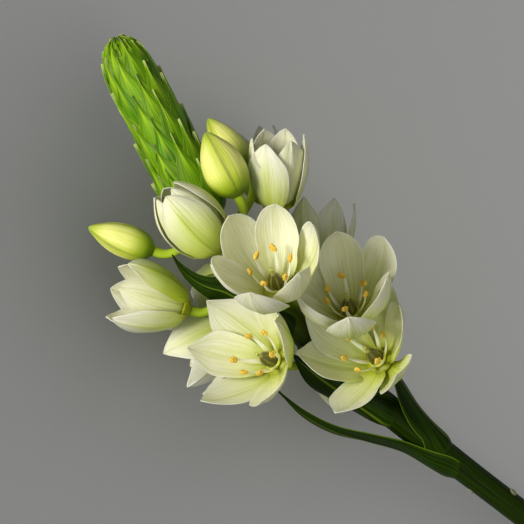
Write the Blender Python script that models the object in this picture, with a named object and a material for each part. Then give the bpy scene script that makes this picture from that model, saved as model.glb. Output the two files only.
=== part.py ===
"""Star of Bethlehem flower: one cut flowering stem, laid down on a flat surface.

A leafy green stem carries a raceme of white flowers and buds, and ends in a long green spire of
overlapping bracts. The layout is given as seen from above, with the spire to the upper left:
right and up across the view, and the height above the surface, all in millimetres. The whole
is then turned so that its length runs along X, and shifted so that the origin lies under the
middle of its length and width.
"""

import math
import random
from collections import namedtuple

import bmesh
import bpy
from mathutils import Matrix
from mathutils import Vector

MM = 0.001
UP = Vector((0.0, 0.0, 1.0))
FIT_GAP = 0.3 * MM
LAY_TURN = math.radians(45.0)
SHARP_ANGLE = math.radians(50.0)
WELD = 0.001 * MM
UNION_WELDS = (0.004 * MM, 0.001 * MM, 0.0002 * MM)

# A tepal: (place along it, share of its half width), and how it bends and cups.
TEPAL_THICKNESS = 0.7 * MM
TEPAL_OUTLINE = ((0.0, 0.2), (0.08, 0.26), (0.3, 0.82), (0.55, 1.0), (0.8, 0.78), (1.0, 0.0))
FINE_ROWS = (0.08, 0.3, 0.55, 0.8, 1.0)
PLAIN_ROWS = (0.08, 0.36, 0.7, 1.0)
TEPAL_TRACE = 100
TEPAL_BASE_FLARE = math.radians(42.0)
TEPAL_FLARE_LENGTH = 0.22
TEPAL_WIDEST_HEADING = math.radians(88.0)
OUTER_HOLLOW = 0.75
INNER_HOLLOW = 1.05
HOLLOW_AT_BASE = 0.2
HOLLOW_FULL_FROM = 0.3
SPOON_FROM = 0.15
SPOON_FULL = 0.5
OUTER_REACH = 2.1 * MM
INNER_REACH = 1.3 * MM
OUTER_RISE = -0.5 * MM
INNER_RISE = 0.35 * MM
INNER_LENGTH = 0.96
INNER_WIDTH = 1.04

# Turned parts, as (height, radius) pairs in millimetres from the base of the flower.
RECEPTACLE = ((-1.7, 1.4), (-1.0, 4.2), (1.1, 4.6))
RECEPTACLE_BOTTOM = 1.7 * MM
RECEPTACLE_SIDES = 8
OVARY = ((1.5, 1.3), (3.6, 1.85), (6.0, 1.3), (6.8, 0.5), (8.6, 0.55))
OVARY_SIDES = 6
OVARY_LOBES = 0.88

COLLAR_LOW = 1.5 * MM
COLLAR_HIGH = 2.3 * MM
COLLAR_OUTER = 2.4 * MM
COLLAR_INNER = 1.85 * MM
COLLAR_SIDES = 6
FILAMENT_REACH = 7.6 * MM
FILAMENT_ROOT = 0.2 * MM
FILAMENT_SIDES = 3
FILAMENT_LEAN_SHARE = 0.8
FILAMENT_LEAN_LESS = 1.0
FILAMENT_SWING = (-0.1, 0.1)
FILAMENT_STRETCH = (0.9, 1.08)
ANTHER_LENGTH = 2.9 * MM
ANTHER_MIDDLE = 0.45
ANTHER_SWING = (-1.0, 1.0)
ANTHER_TIP_OUT = (0.0, 1.5)
STAMEN_RADII = (0.5 * MM, 0.36 * MM, 0.8 * MM, 0.25 * MM)

BUD_PROFILE = ((0.0, 0.36), (0.1, 0.74), (0.34, 1.0), (0.6, 0.9), (0.83, 0.5))
BUD_SIDES = 12
BUD_PROUD = 0.05
BUD_SUNK = -0.04
BUD_SWELL = 0.03

STEM_ROUTE = (
    (-3.2, -1.4, 29.8),
    (9.5, -17.0, 29.0),
    (20.75, -28.25, 27.0),
    (32.0, -37.5, 24.6),
    (44.5, -47.5, 21.4),
    (62.0, -61.0, 16.6),
    (80.0, -74.9, 11.6),
    (98.0, -88.9, 7.2),
    (112.0, -99.8, 4.4),
    (121.0, -106.9, 3.186),
    (131.0, -114.8, 3.186),
)
STEM_RADIUS = ((0.0, 2.6), (30.0, 3.3), (60.0, 3.9), (78.0, 3.7), (100.0, 3.35), (200.0, 3.35))
STEM_SIDES = 10
STEM_RINGS = 18
STEM_NECK = 6.0 * MM
STEM_TOP_RING = 1.0 * MM

PEDICEL_RADIUS = 1.15 * MM
PEDICEL_SIDES = 5
PEDICEL_STEPS = 4
PEDICEL_OUTWARD = 0.7
PEDICEL_UPWARD = 0.5
PEDICEL_BEND = 0.4
PEDICEL_STRAIGHT = 1.2 * MM
# How far down the stem a pedicel grows from, measured from the point nearest to its flower.
PEDICEL_ROOT = 9.0
PEDICEL_ROOTS = {
    "bloom_centre": 4.0,
    "bloom_right": -14.0,
    "bloom_right_low": 4.0,
    "cup_under_low": -5.0,
    "bud_left": 3.0,
}

SPIRE_ROUTE = (
    (-13.6, 9.6, 30.0),
    (-17.4, 17.0, 30.2),
    (-21.5, 25.3, 30.4),
    (-26.1, 34.6, 30.6),
    (-31.2, 44.0, 30.8),
    (-34.6, 51.2, 30.9),
    (-36.8, 56.8, 31.0),
)
SPIRE_RADIUS = (
    (0.0, 5.4),
    (0.08, 7.4),
    (0.25, 7.6),
    (0.5, 7.1),
    (0.75, 6.6),
    (0.86, 6.1),
    (0.94, 4.6),
    (0.98, 2.8),
    (1.0, 1.2),
)
SPIRE_RINGS = (0.0, 0.08, 0.25, 0.5, 0.75, 0.86, 0.94, 0.98, 1.0)
SPIRE_SIDES = 8
SPIRE_FOOT = 0.3 * MM
GOLDEN_ANGLE = math.radians(137.508)
SCALE_COUNT = 52
SCALE_LENGTH = 10.5 * MM
SCALE_HALF_WIDTH = 2.4 * MM
SCALE_HIGHEST = 0.97
SCALE_YOUNG_FROM = 0.6
SCALE_YOUNG_LOSS = 0.45
SCALE_WIDEST = 0.3
SCALE_TAIL = 0.1
SCALE_RIDGE = 0.95 * MM
SCALE_SUNK = 1.3 * MM
SCALE_OVERHANG = 1.5 * MM

BRACT_THICKNESS = 0.7 * MM
BRACT_STEPS = 6
BRACT_HALVES = 2
BRACT_FLATTENS = 1.4

Form = namedtuple("Form", "curl length width spoon halves rows")
Flower = namedtuple("Flower", "name base axis turn opening swing form")
Bud = namedtuple("Bud", "name base axis length width")
Bract = namedtuple("Bract", "name sides route widths twist")

# Forms: the curl of a tepal from base to tip in degrees, its length and width in millimetres,
# how much deeper its outer half is hollowed, how many strips each half of its width is cut
# into, and the places of its rows along it.
WIDE = Form(71, 24.7, 13.4, 1.75, 2, FINE_ROWS)
FLAT = Form(42, 24.4, 12.8, 1.3, 2, FINE_ROWS)
CUP = Form(53, 21.2, 11.8, 1.0, 1, FINE_ROWS)
EGG = Form(96, 23.5, 14.5, 1.2, 1, FINE_ROWS)
BACK = Form(50, 22.0, 10.8, 1.0, 1, PLAIN_ROWS)
SMALL = Form(50, 20.0, 9.8, 1.0, 1, PLAIN_ROWS)
EVEN = (0,) * 6


def shut(degrees):
    """The same lean for all six tepals."""
    return (degrees,) * 6


# Flowers: the base and the axis as (right, up, towards the viewer), the turn of the first tepal,
# and how far each tepal leans out and swings sideways, in degrees.
FLOWERS = (
    Flower(
        "bloom_centre",
        (3.8, -6.8, 54.5),
        (-0.17, 0.59, 0.79),
        15.5,
        (25, 27, 26, 32, 30, 29),
        (2, 1, -3, 1, 2, -5),
        WIDE,
    ),
    Flower(
        "bloom_left_low",
        (3.9, -25.3, 33.0),
        (-0.63, 0.27, 0.72),
        -4,
        (30, 33, 31, 34, 34, 44),
        (12, -7, 4, -4, -3, -3),
        FLAT,
    ),
    Flower(
        "bloom_right",
        (22.2, -13.4, 42.5),
        (-0.17, 0.63, 0.77),
        36.6,
        (30, 26, 22, 29, 32, 28),
        (3, -2, 0, 0, -1, 1),
        WIDE,
    ),
    Flower(
        "bloom_right_low",
        (30.0, -25.1, 33.0),
        (-0.52, 0.42, 0.74),
        73,
        (46, 38, 26, 52, 44, 37),
        (0, 30, 0, 0, 0, 0),
        FLAT,
    ),
    Flower("cup_top", (4.2, 14.3, 33.5), (-0.02, 0.91, 0.42), 4, (10, 8, 7, 12, 8, 8), EVEN, CUP),
    Flower(
        "cup_left_top",
        (-11.4, 4.0, 44.0),
        (-0.65, 0.68, 0.34),
        -85,
        (1, 3, 3, 5, 9, 4),
        (0, 0, 0, 0, 4, -4),
        EGG,
    ),
    Flower("cup_left", (-19.8, -11.8, 28.5), (-0.94, 0.28, 0.22), 12, (24, 16, 18, 18, 18, 14), EVEN, CUP),
    Flower("bloom_left_back", (-6.8, -15.8, 19.5), (-0.82, -0.52, -0.16), 0, shut(24), EVEN, BACK),
    Flower("bloom_right_back", (14.0, -3.6, 27.0), (0.03, 0.97, -0.15), 0, shut(16), EVEN, BACK),
    Flower("cup_top_back", (1.0, 16.5, 18.5), (-0.24, 0.95, -0.08), 0, shut(10), EVEN, SMALL),
    Flower("cup_under_left", (-8.0, -5.0, 17.0), (-0.3, -0.2, -0.93), 0, shut(10), EVEN, SMALL),
    Flower("cup_under_right", (3.6, 1.2, 17.0), (0.3, 0.28, -0.9), 0, shut(10), EVEN, SMALL),
    Flower("cup_under_low", (17.0, -24.0, 18.8), (0.35, -0.55, -0.7), 0, shut(10), EVEN, SMALL),
)
RESTING_FLOWERS = ("cup_under_left", "cup_under_right")

BUDS = (
    Bud("bud_top", (-6.0, 16.5, 42.5), (-0.45, 0.88, 0.12), 17.8, 10.6),
    Bud("bud_top_back", (-4.0, 23.0, 30.0), (-0.58, 0.8, 0.0), 16.5, 8.4),
    Bud("bud_left", (-27.6, 2.8, 27.0), (-0.93, 0.34, 0.1), 17.6, 8.4),
    Bud("bud_under", (-14.0, 4.0, 18.0), (-0.75, 0.5, -0.4), 16.0, 8.4),
)

# Bracts: the side of the stem that the base and the tip lie on, in degrees (0 faces the viewer,
# 90 is the left-hand side looking up the spire, 180 is the underside), the route as (distance
# down the stem, lift off the stem), the widths along it, and the twist towards the tip.
BRACTS = (
    Bract(
        "bract_long_curved",
        (96, 68),
        ((93, 0), (85, 0.6), (76, 1.4), (67, 4.8), (58, 8.4), (50, 10.6), (42, 11.4)),
        (7.0, 9.6, 9.4, 7.6, 5.4, 3.4, 0.0),
        20,
    ),
    Bract(
        "sheath_right",
        (-66, -56),
        ((86, 0), (79, 0.2), (72, 1.2), (65, 3.4), (59, 5.4)),
        (9.0, 11.2, 11.2, 8.4, 0.0),
        0,
    ),
    Bract(
        "bract_mid_left",
        (50, 40),
        ((70, 0), (62, 0.3), (54, 1.1), (46, 2.9), (38, 4.5)),
        (8.0, 11.0, 11.0, 8.0, 0.0),
        30,
    ),
    Bract(
        "bract_middle",
        (35, 35),
        ((49, 0), (45, 0), (41.5, 0.6), (39.5, 1.2), (38, 2.0)),
        (5.5, 6.0, 5.0, 3.0, 0.0),
        0,
    ),
    Bract(
        "bract_upper_left",
        (58, 53),
        ((36, 0), (31, 0.5), (26, 2.2), (19, 5.3), (11, 8.4), (3, 10.7)),
        (5.0, 6.8, 7.4, 6.8, 5.0, 0.0),
        60,
    ),
    Bract(
        "bract_under",
        (178, 176),
        ((77, 0), (71, 0), (65, 0.8), (61, 2.0), (58, 3.2)),
        (6.0, 6.6, 5.6, 3.6, 0.0),
        0,
    ),
)

LEAF_GREEN = (0.035, 0.11, 0.012, 1.0)
SPIRE_GREEN = (0.11, 0.27, 0.02, 1.0)
BUD_GREEN = (0.55, 0.62, 0.14, 1.0)
TEPAL_WHITE = (0.86, 0.86, 0.74, 1.0)
ANTHER_GOLD = (0.75, 0.4, 0.03, 1.0)
OVARY_OLIVE = (0.07, 0.06, 0.008, 1.0)


def clear_scene():
    for obj in list(bpy.data.objects):
        bpy.data.objects.remove(obj, do_unlink=True)


def finish(name, colour, roughness):
    """A plain material for one sub-part."""
    mat = bpy.data.materials.new(name)
    mat.use_nodes = True
    shader = mat.node_tree.nodes["Principled BSDF"]
    shader.inputs["Base Color"].default_value = colour
    shader.inputs["Roughness"].default_value = roughness
    shader.inputs["Metallic"].default_value = 0.0
    return mat


def placed(right, up, height):
    """A point of the layout, in millimetres as seen from above, as a place in metres."""
    return Matrix.Rotation(LAY_TURN, 3, "Z") @ (Vector((right, up, height)) * MM)


def facing(right, up, towards):
    """A direction of the layout as a unit vector."""
    return placed(right, up, towards).normalized()


def through(points, fraction):
    """A point on the smooth curve through the given points, at a fraction of their count."""
    spans = len(points) - 1
    place = min(max(fraction, 0.0), 1.0) * spans
    k = min(int(place), spans - 1)
    t = place - k
    a, b = points[k], points[k + 1]
    before = points[k - 1] if k > 0 else a * 2 - b
    after = points[k + 2] if k + 2 <= spans else b * 2 - a
    return 0.5 * (
        2 * a
        + (b - before) * t
        + (2 * before - 5 * a + 4 * b - after) * t * t
        + (3 * a - before - 3 * b + after) * t * t * t
    )


def read_table(table, x):
    """A value from a table of (place, value) pairs, on straight lines between them."""
    for (x0, y0), (x1, y1) in zip(table, table[1:]):
        if x <= x1:
            t = min(max((x - x0) / (x1 - x0), 0.0), 1.0)
            return y0 + (y1 - y0) * t
    return table[-1][1]


class Route:
    """A smooth line through points, read by the distance along it."""

    def __init__(self, points, steps=160):
        self.points = [through(points, k / steps) for k in range(steps + 1)]
        self.reach = [0.0]
        for a, b in zip(self.points, self.points[1:]):
            self.reach.append(self.reach[-1] + (b - a).length)
        self.length = self.reach[-1]

    def at(self, distance):
        distance = min(max(distance, 0.0), self.length)
        k = 1
        while k < len(self.reach) - 1 and self.reach[k] < distance:
            k += 1
        span = self.reach[k] - self.reach[k - 1]
        return self.points[k - 1].lerp(self.points[k], (distance - self.reach[k - 1]) / span)

    def direction(self, distance, step=0.5 * MM):
        return (self.at(distance + step) - self.at(distance - step)).normalized()

    def nearest(self, point):
        k = min(range(len(self.points)), key=lambda i: (self.points[i] - point).length)
        return self.reach[k]


def spire_line():
    return Route([placed(*point) for point in SPIRE_ROUTE])


def stem_line():
    """The middle of the stem; it starts square to the foot of the spire, a fit gap below it."""
    spire = spire_line()
    down = -spire.direction(0.0)
    top = [spire.at(0.0) + down * FIT_GAP, spire.at(0.0) + down * STEM_NECK]
    return Route(top + [placed(*point) for point in STEM_ROUTE])


def solid(name, verts, faces, mat):
    """An object from points and faces, closed and with its faces turned outwards."""
    mesh = bpy.data.meshes.new(name)
    mesh.from_pydata(verts, [], faces)
    shape = bmesh.new()
    shape.from_mesh(mesh)
    bmesh.ops.remove_doubles(shape, verts=shape.verts, dist=WELD)
    bmesh.ops.triangulate(shape, faces=shape.faces[:])
    bmesh.ops.recalc_face_normals(shape, faces=shape.faces[:])
    shape.to_mesh(mesh)
    shape.free()
    obj = bpy.data.objects.new(name, mesh)
    bpy.context.scene.collection.objects.link(obj)
    obj.data.materials.append(mat)
    return obj


def smooth(obj):
    obj.data.shade_smooth()
    obj.data.set_sharp_from_angle(angle=SHARP_ANGLE)


def fuse(obj, repeats):
    """Join the repeats to the object as one body, and remove them."""
    group = bpy.data.collections.new(obj.name + "_repeats")
    bpy.context.scene.collection.children.link(group)
    for piece in repeats:
        bpy.context.scene.collection.objects.unlink(piece)
        group.objects.link(piece)
    union = obj.modifiers.new("Union", "BOOLEAN")
    union.operation = "UNION"
    union.operand_type = "COLLECTION"
    union.collection = group
    union.solver = "EXACT"
    seen = obj.evaluated_get(bpy.context.evaluated_depsgraph_get())
    joined = bpy.data.meshes.new_from_object(seen)
    obj.modifiers.clear()
    obj.data = joined
    for piece in list(group.objects):
        bpy.data.objects.remove(piece, do_unlink=True)
    bpy.data.collections.remove(group)
    for weld in UNION_WELDS:
        shape = bmesh.new()
        shape.from_mesh(joined)
        bmesh.ops.remove_doubles(shape, verts=shape.verts, dist=weld)
        bmesh.ops.dissolve_degenerate(shape, edges=shape.edges, dist=weld)
        bmesh.ops.triangulate(shape, faces=shape.faces[:])
        closed = all(edge.is_manifold for edge in shape.edges)
        if closed:
            shape.to_mesh(joined)
        shape.free()
        if closed:
            break
    return obj


def stitched(low, high):
    """Triangles between two rows of points, or to a single point at the end."""
    faces = []
    for k in range(len(low) - 1):
        if len(high) == 1:
            faces.append((low[k], low[k + 1], high[0]))
        else:
            faces.append((low[k], low[k + 1], high[k + 1]))
            faces.append((low[k], high[k + 1], high[k]))
    return faces


def blade(name, rows, thickness, mat):
    """A thin closed solid from rows of (point, normal), split alike on both faces."""
    verts, front, back = [], [], []
    for row in rows:
        front.append([])
        back.append([])
        for point, normal in row:
            front[-1].append(len(verts))
            verts.append(point + normal * thickness / 2)
            back[-1].append(len(verts))
            verts.append(point - normal * thickness / 2)
    faces = []
    for sheet in (front, back):
        for low, high in zip(sheet, sheet[1:]):
            faces += stitched(low, high)
    for end in (0, -1):
        faces += stitched([row[end] for row in front], [row[end] for row in back])
    faces += stitched(front[0], back[0])
    return solid(name, verts, faces, mat)


def rings_solid(name, rings, mat):
    """A closed solid through rings of points; a ring of one point is a tip."""
    verts, loops = [], []
    for points in rings:
        loops.append(list(range(len(verts), len(verts) + len(points))))
        verts += points
    faces = []
    for low, high in zip(loops, loops[1:]):
        faces += stitched(low + low[:1], high + high[:1] if len(high) > 1 else high)
    for loop in (loops[0], loops[-1]):
        if len(loop) > 1:
            faces.append(tuple(loop))
    return solid(name, verts, faces, mat)


def ring(centre, across, over, radius, sides, lobes=1.0):
    """Points round a centre; every second point is drawn in by the lobes factor."""
    points = []
    for k in range(sides):
        angle = 2 * math.pi * (k + 0.5) / sides
        reach = radius * (lobes if k % 2 else 1.0)
        points.append(centre + (across * math.sin(angle) - over * math.cos(angle)) * reach)
    return points


def frame_of(axis):
    """Two unit vectors across an axis: the first lies along the view's right."""
    right = facing(1.0, 0.0, 0.0)
    across = (right - axis * right.dot(axis)).normalized()
    return across, axis.cross(across)


def turned(name, base, axis, profile, sides, mat, lobes=1.0):
    """A turned solid from (height, radius) pairs in millimetres along an axis."""
    across, over = frame_of(axis)
    rings = [ring(base + axis * h * MM, across, over, r * MM, sides, lobes) for h, r in profile]
    return rings_solid(name, rings, mat)


def tube(name, path, radii, sides, mat, level=None):
    """A tube along points; with a level direction its flat side stays square to it."""
    rings = []
    across = None
    for k, point in enumerate(path):
        ahead = path[min(k + 1, len(path) - 1)]
        behind = path[max(k - 1, 0)]
        along = (ahead - behind).normalized()
        if level:
            across = along.cross(level).normalized()
        elif across is None:
            across = frame_of(along)[0]
        else:
            across = (across - along * across.dot(along)).normalized()
        rings.append(ring(point, across, across.cross(along), radii[k], sides))
    return rings_solid(name, rings, mat)


def tepal_direction(flower, k):
    """The directions outwards and sideways of one tepal of a flower."""
    axis = facing(*flower.axis)
    across, over = frame_of(axis)
    angle = math.radians(flower.turn + 60.0 * k + flower.swing[k])
    out = across * math.cos(angle) + over * math.sin(angle)
    return out, axis.cross(out)


def tepal_rows(flower, k):
    """Rows of (point, normal) of one tepal: outer ones at even k, inner ones at odd k."""
    axis = facing(*flower.axis)
    base = placed(*flower.base)
    out, side = tepal_direction(flower, k)
    inner = k % 2
    lean = math.radians(flower.opening[k])
    curl = math.radians(flower.form.curl)
    length = flower.form.length * MM * (INNER_LENGTH if inner else 1.0)
    half = flower.form.width * MM / 2 * (INNER_WIDTH if inner else 1.0)
    reach = INNER_REACH if inner else OUTER_REACH
    rise = INNER_RISE if inner else OUTER_RISE
    hollow = INNER_HOLLOW if inner else OUTER_HOLLOW
    halves = flower.form.halves
    row_steps = [round(row * TEPAL_TRACE) for row in flower.form.rows]
    rows = []
    for step in range(TEPAL_TRACE + 1):
        s = step / TEPAL_TRACE
        flare = max(0.0, 1.0 - s / TEPAL_FLARE_LENGTH) ** 2 * TEPAL_BASE_FLARE
        heading = min(lean + curl * (0.5 - s) + flare, TEPAL_WIDEST_HEADING)
        normal = axis * math.sin(heading) - out * math.cos(heading)
        middle = base + out * reach + axis * rise
        if step == TEPAL_TRACE:
            rows.append([(middle, normal)])
        elif step in row_steps:
            wide = half * read_table(TEPAL_OUTLINE, s)
            outer_half = min(max((s - SPOON_FROM) / (SPOON_FULL - SPOON_FROM), 0.0), 1.0)
            deeper = 1.0 + (flower.form.spoon - 1.0) * outer_half
            cup = wide / reach * hollow * deeper * min(1.0, HOLLOW_AT_BASE + s / HOLLOW_FULL_FROM)
            row = []
            for j in range(-halves, halves + 1):
                bend = cup * j / halves
                shift = side * math.sin(bend) + normal * (1 - math.cos(bend))
                tilt = normal * math.cos(bend) - side * math.sin(bend)
                row.append((middle + shift * wide / cup, tilt))
            rows.append(row)
        reach += math.sin(heading) * length / TEPAL_TRACE
        rise += math.cos(heading) * length / TEPAL_TRACE
    return rows


def build_tepals(flower, mat):
    """The receptacle of a flower with its six tepals, one body."""
    name = flower.name + "_tepals"
    base = placed(*flower.base)
    cup = turned(name, base, facing(*flower.axis), RECEPTACLE, RECEPTACLE_SIDES, mat)
    tepals = []
    for k in range(6):
        tepals.append(blade(f"{name}_{k}", tepal_rows(flower, k), TEPAL_THICKNESS, mat))
    obj = fuse(cup, tepals)
    smooth(obj)
    return obj


def build_collar(name, flower, mat):
    """The low ring round the ovary that the filaments rise from."""
    axis = facing(*flower.axis)
    base = placed(*flower.base)
    across, over = frame_of(axis)
    verts = []
    for height, radius in (
        (COLLAR_LOW, COLLAR_OUTER),
        (COLLAR_HIGH, COLLAR_OUTER),
        (COLLAR_HIGH, COLLAR_INNER),
        (COLLAR_LOW, COLLAR_INNER),
    ):
        verts += ring(base + axis * height, across, over, radius, COLLAR_SIDES)
    faces = []
    for k in range(4):
        low = [k * COLLAR_SIDES + j for j in range(COLLAR_SIDES)]
        high = [(k + 1) % 4 * COLLAR_SIDES + j for j in range(COLLAR_SIDES)]
        faces += stitched(low + low[:1], high + high[:1])
    return solid(name, verts, faces, mat)


def build_stamens(flower, mat):
    """Six filaments with anthers on a low collar round the ovary, one body."""
    axis = facing(*flower.axis)
    base = placed(*flower.base)
    name = flower.name + "_stamens"
    collar = build_collar(name, flower, mat)
    draw = random.Random(flower.name)
    lean = math.radians(sum(flower.opening) / 6 * FILAMENT_LEAN_SHARE - FILAMENT_LEAN_LESS)
    filaments = []
    for k in range(6):
        out, side = tepal_direction(flower._replace(swing=EVEN), k)
        start = base + out * (COLLAR_OUTER + COLLAR_INNER) / 2 + axis * (COLLAR_LOW + FILAMENT_ROOT)
        rise = axis * math.cos(lean) + out * math.sin(lean)
        rise = (rise + side * draw.uniform(*FILAMENT_SWING)).normalized()
        neck = start + rise * FILAMENT_REACH * draw.uniform(*FILAMENT_STRETCH)
        lie = axis + side * draw.uniform(*ANTHER_SWING) + out * draw.uniform(*ANTHER_TIP_OUT) * lean
        lie.normalize()
        path = [start, neck, neck + lie * ANTHER_LENGTH * ANTHER_MIDDLE, neck + lie * ANTHER_LENGTH]
        filaments.append(tube(f"{name}_{k}", path, STAMEN_RADII, FILAMENT_SIDES, mat))
    obj = fuse(collar, filaments)
    smooth(obj)
    return obj


def build_ovary(flower, mat):
    base = placed(*flower.base)
    obj = turned(flower.name + "_ovary", base, facing(*flower.axis), OVARY, OVARY_SIDES, mat, OVARY_LOBES)
    smooth(obj)
    return obj


def build_bud(bud, mat):
    """A closed bud: three outer tepals stand proud of the three inner ones."""
    axis = facing(*bud.axis)
    base = placed(*bud.base)
    across, over = frame_of(axis)
    rings = []
    for height, wide in BUD_PROFILE:
        points = []
        for k in range(BUD_SIDES):
            angle = 2 * math.pi * k / BUD_SIDES
            proud = BUD_PROUD if k % 4 < 2 else BUD_SUNK
            radius = bud.width * MM / 2 * wide * (1.0 + proud + BUD_SWELL * math.cos(3 * angle))
            point = base + axis * height * bud.length * MM
            points.append(point + (across * math.cos(angle) + over * math.sin(angle)) * radius)
        rings.append(points)
    rings.append([base + axis * bud.length * MM])
    obj = rings_solid(bud.name, rings, mat)
    smooth(obj)
    return obj


def spire_scale(name, route, fraction, turn, mat):
    """One pointed bract of the spire, with a ridge down its middle and its root sunk in."""
    age = max(0.0, (fraction - SCALE_YOUNG_FROM) / (1.0 - SCALE_YOUNG_FROM))
    young = 1.0 - SCALE_YOUNG_LOSS * age**2
    start = route.length * fraction
    length = min(SCALE_LENGTH * young, route.length - start + SCALE_OVERHANG)
    half = SCALE_HALF_WIDTH * young

    def skin(along_share, offset, lift):
        distance = max(start + along_share * length, SPIRE_FOOT)
        along = route.direction(min(distance, route.length))
        across = along.cross(UP).normalized()
        over = across.cross(along)
        radius = read_table(SPIRE_RADIUS, distance / route.length) * MM
        beyond = max(0.0, distance - route.length)
        angle = turn + offset / max(radius, SCALE_HALF_WIDTH)
        out = across * math.cos(angle) + over * math.sin(angle)
        return route.at(distance) + along * beyond + out * (radius + lift)

    verts = [
        skin(-SCALE_TAIL, 0.0, -SCALE_SUNK),
        skin(SCALE_WIDEST, -half, -FIT_GAP),
        skin(SCALE_WIDEST, half, -FIT_GAP),
        skin(SCALE_WIDEST, 0.0, SCALE_RIDGE * young),
        skin(SCALE_WIDEST, 0.0, -SCALE_SUNK),
        skin(1.0, 0.0, SCALE_RIDGE * young),
    ]
    faces = [(0, 1, 3), (0, 3, 2), (1, 5, 3), (3, 5, 2), (0, 4, 1), (0, 2, 4), (1, 4, 5), (4, 2, 5)]
    return solid(name, verts, faces, mat)


def build_spire(mat):
    """A tapering core clad in a spiral of overlapping pointed bracts, one body."""
    route = spire_line()
    path = [route.at(route.length * f) for f in SPIRE_RINGS]
    radii = [read_table(SPIRE_RADIUS, f) * MM for f in SPIRE_RINGS]
    core = tube("spire", path, radii, SPIRE_SIDES, mat, level=UP)
    scales = []
    for k in range(SCALE_COUNT):
        fraction = (k + 0.5) / SCALE_COUNT * SCALE_HIGHEST
        scales.append(spire_scale(f"spire_{k}", route, fraction, GOLDEN_ANGLE * k, mat))
    obj = fuse(core, scales)
    smooth(obj)
    return obj


def bract_places(bract, stem):
    """Points along a bract with the direction off the stem, the roundness, width and twist."""
    route = [Vector((distance, lift, 0.0)) for distance, lift in bract.route]
    widths = [Vector((width, 0.0, 0.0)) for width in bract.widths]
    places = []
    for step in range(BRACT_STEPS + 1):
        f = step / BRACT_STEPS
        distance, lift = through(route, f)[:2]
        lift = max(lift, 0.0) * MM
        along = stem.direction(distance * MM)
        across = along.cross(UP).normalized()
        over = across.cross(along)
        side = math.radians(bract.sides[0] + (bract.sides[1] - bract.sides[0]) * f)
        out = over * math.cos(side) + across * math.sin(side)
        skin = read_table(STEM_RADIUS, distance) * MM + FIT_GAP + BRACT_THICKNESS / 2
        point = stem.at(distance * MM) + out * (skin + lift)
        wide = max(through(widths, f)[0], 0.0) * MM / 2
        places.append((point, out, skin + lift * BRACT_FLATTENS, wide, math.radians(bract.twist) * f))
    return places


def bract_rows(bract, stem):
    """Rows of (point, normal) of a bract that hugs the stem at its base and then leaves it."""
    places = bract_places(bract, stem)
    rows = []
    for step, (point, out, hug, wide, twist) in enumerate(places):
        ahead = places[min(step + 1, BRACT_STEPS)][0]
        behind = places[max(step - 1, 0)][0]
        along = (ahead - behind).normalized()
        out = (out - along * out.dot(along)).normalized()
        out = Matrix.Rotation(twist, 3, along) @ out
        side = along.cross(out)
        if step == BRACT_STEPS:
            rows.append([(point, out)])
            continue
        row = []
        for j in range(-BRACT_HALVES, BRACT_HALVES + 1):
            bend = wide / hug * j / BRACT_HALVES
            shift = side * math.sin(bend) - out * (1 - math.cos(bend))
            row.append((point + shift * hug, out * math.cos(bend) + side * math.sin(bend)))
        rows.append(row)
    return rows


def build_bracts(mat):
    stem = stem_line()
    for bract in BRACTS:
        obj = blade(bract.name, bract_rows(bract, stem), BRACT_THICKNESS, mat)
        smooth(obj)


def pedicel_path(stem, end, arrive, root):
    """A curve from the middle of the stem to the foot of a flower, straight at its end."""
    start_at = stem.nearest(end) + root * MM
    start = stem.at(start_at)
    bend_end = end - arrive * PEDICEL_STRAIGHT
    reach = (bend_end - start).length
    leave = (bend_end - start).normalized() * PEDICEL_OUTWARD - stem.direction(start_at) * PEDICEL_UPWARD
    first = start + leave.normalized() * reach * PEDICEL_BEND
    second = bend_end - arrive * reach * PEDICEL_BEND
    path = []
    for k in range(PEDICEL_STEPS + 1):
        t = k / PEDICEL_STEPS
        u = 1 - t
        path.append(start * u**3 + first * 3 * u * u * t + second * 3 * u * t * t + bend_end * t**3)
    return path + [end]


def build_stem(flowers, mat):
    """The stem with its pedicels, one body."""
    stem = stem_line()
    places = [0.0, STEM_TOP_RING] + [stem.length * k / STEM_RINGS for k in range(1, STEM_RINGS + 1)]
    path = [stem.at(place) for place in places]
    radii = [read_table(STEM_RADIUS, place / MM) * MM for place in places]
    resting = radii[-1] * math.cos(math.pi / STEM_SIDES)
    for point in path:
        point.z = max(point.z, resting)
    trunk = tube("stem", path, radii, STEM_SIDES, mat, level=UP)
    pedicels = []
    for flower in list(flowers) + list(BUDS):
        axis = facing(*flower.axis)
        below = RECEPTACLE_BOTTOM if isinstance(flower, Flower) else 0.0
        end = placed(*flower.base) - axis * (below + FIT_GAP)
        route = pedicel_path(stem, end, axis, PEDICEL_ROOTS.get(flower.name, PEDICEL_ROOT))
        radii = [PEDICEL_RADIUS] * len(route)
        pedicels.append(tube(f"pedicel_{flower.name}", route, radii, PEDICEL_SIDES, mat))
    obj = fuse(trunk, pedicels)
    smooth(obj)
    return obj


def lowered(flower, mat):
    """The same flower, at the height where its lowest tepal touches the surface."""
    right, up, height = flower.base
    trial = build_tepals(flower, mat)
    low = min(vertex.co.z for vertex in trial.data.vertices)
    bpy.data.objects.remove(trial, do_unlink=True)
    return flower._replace(base=(right, up, height - low / MM))


def centre_on_origin():
    """Shift everything so that the origin lies under the middle, on the surface."""
    points = [vertex.co for obj in bpy.context.scene.objects for vertex in obj.data.vertices]
    low = Vector([min(point[k] for point in points) for k in range(3)])
    high = Vector([max(point[k] for point in points) for k in range(3)])
    middle = (low + high) / 2
    shift = Vector((-middle.x, -middle.y, -low.z))
    for obj in bpy.context.scene.objects:
        obj.data.transform(Matrix.Translation(shift))
    return shift


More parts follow.
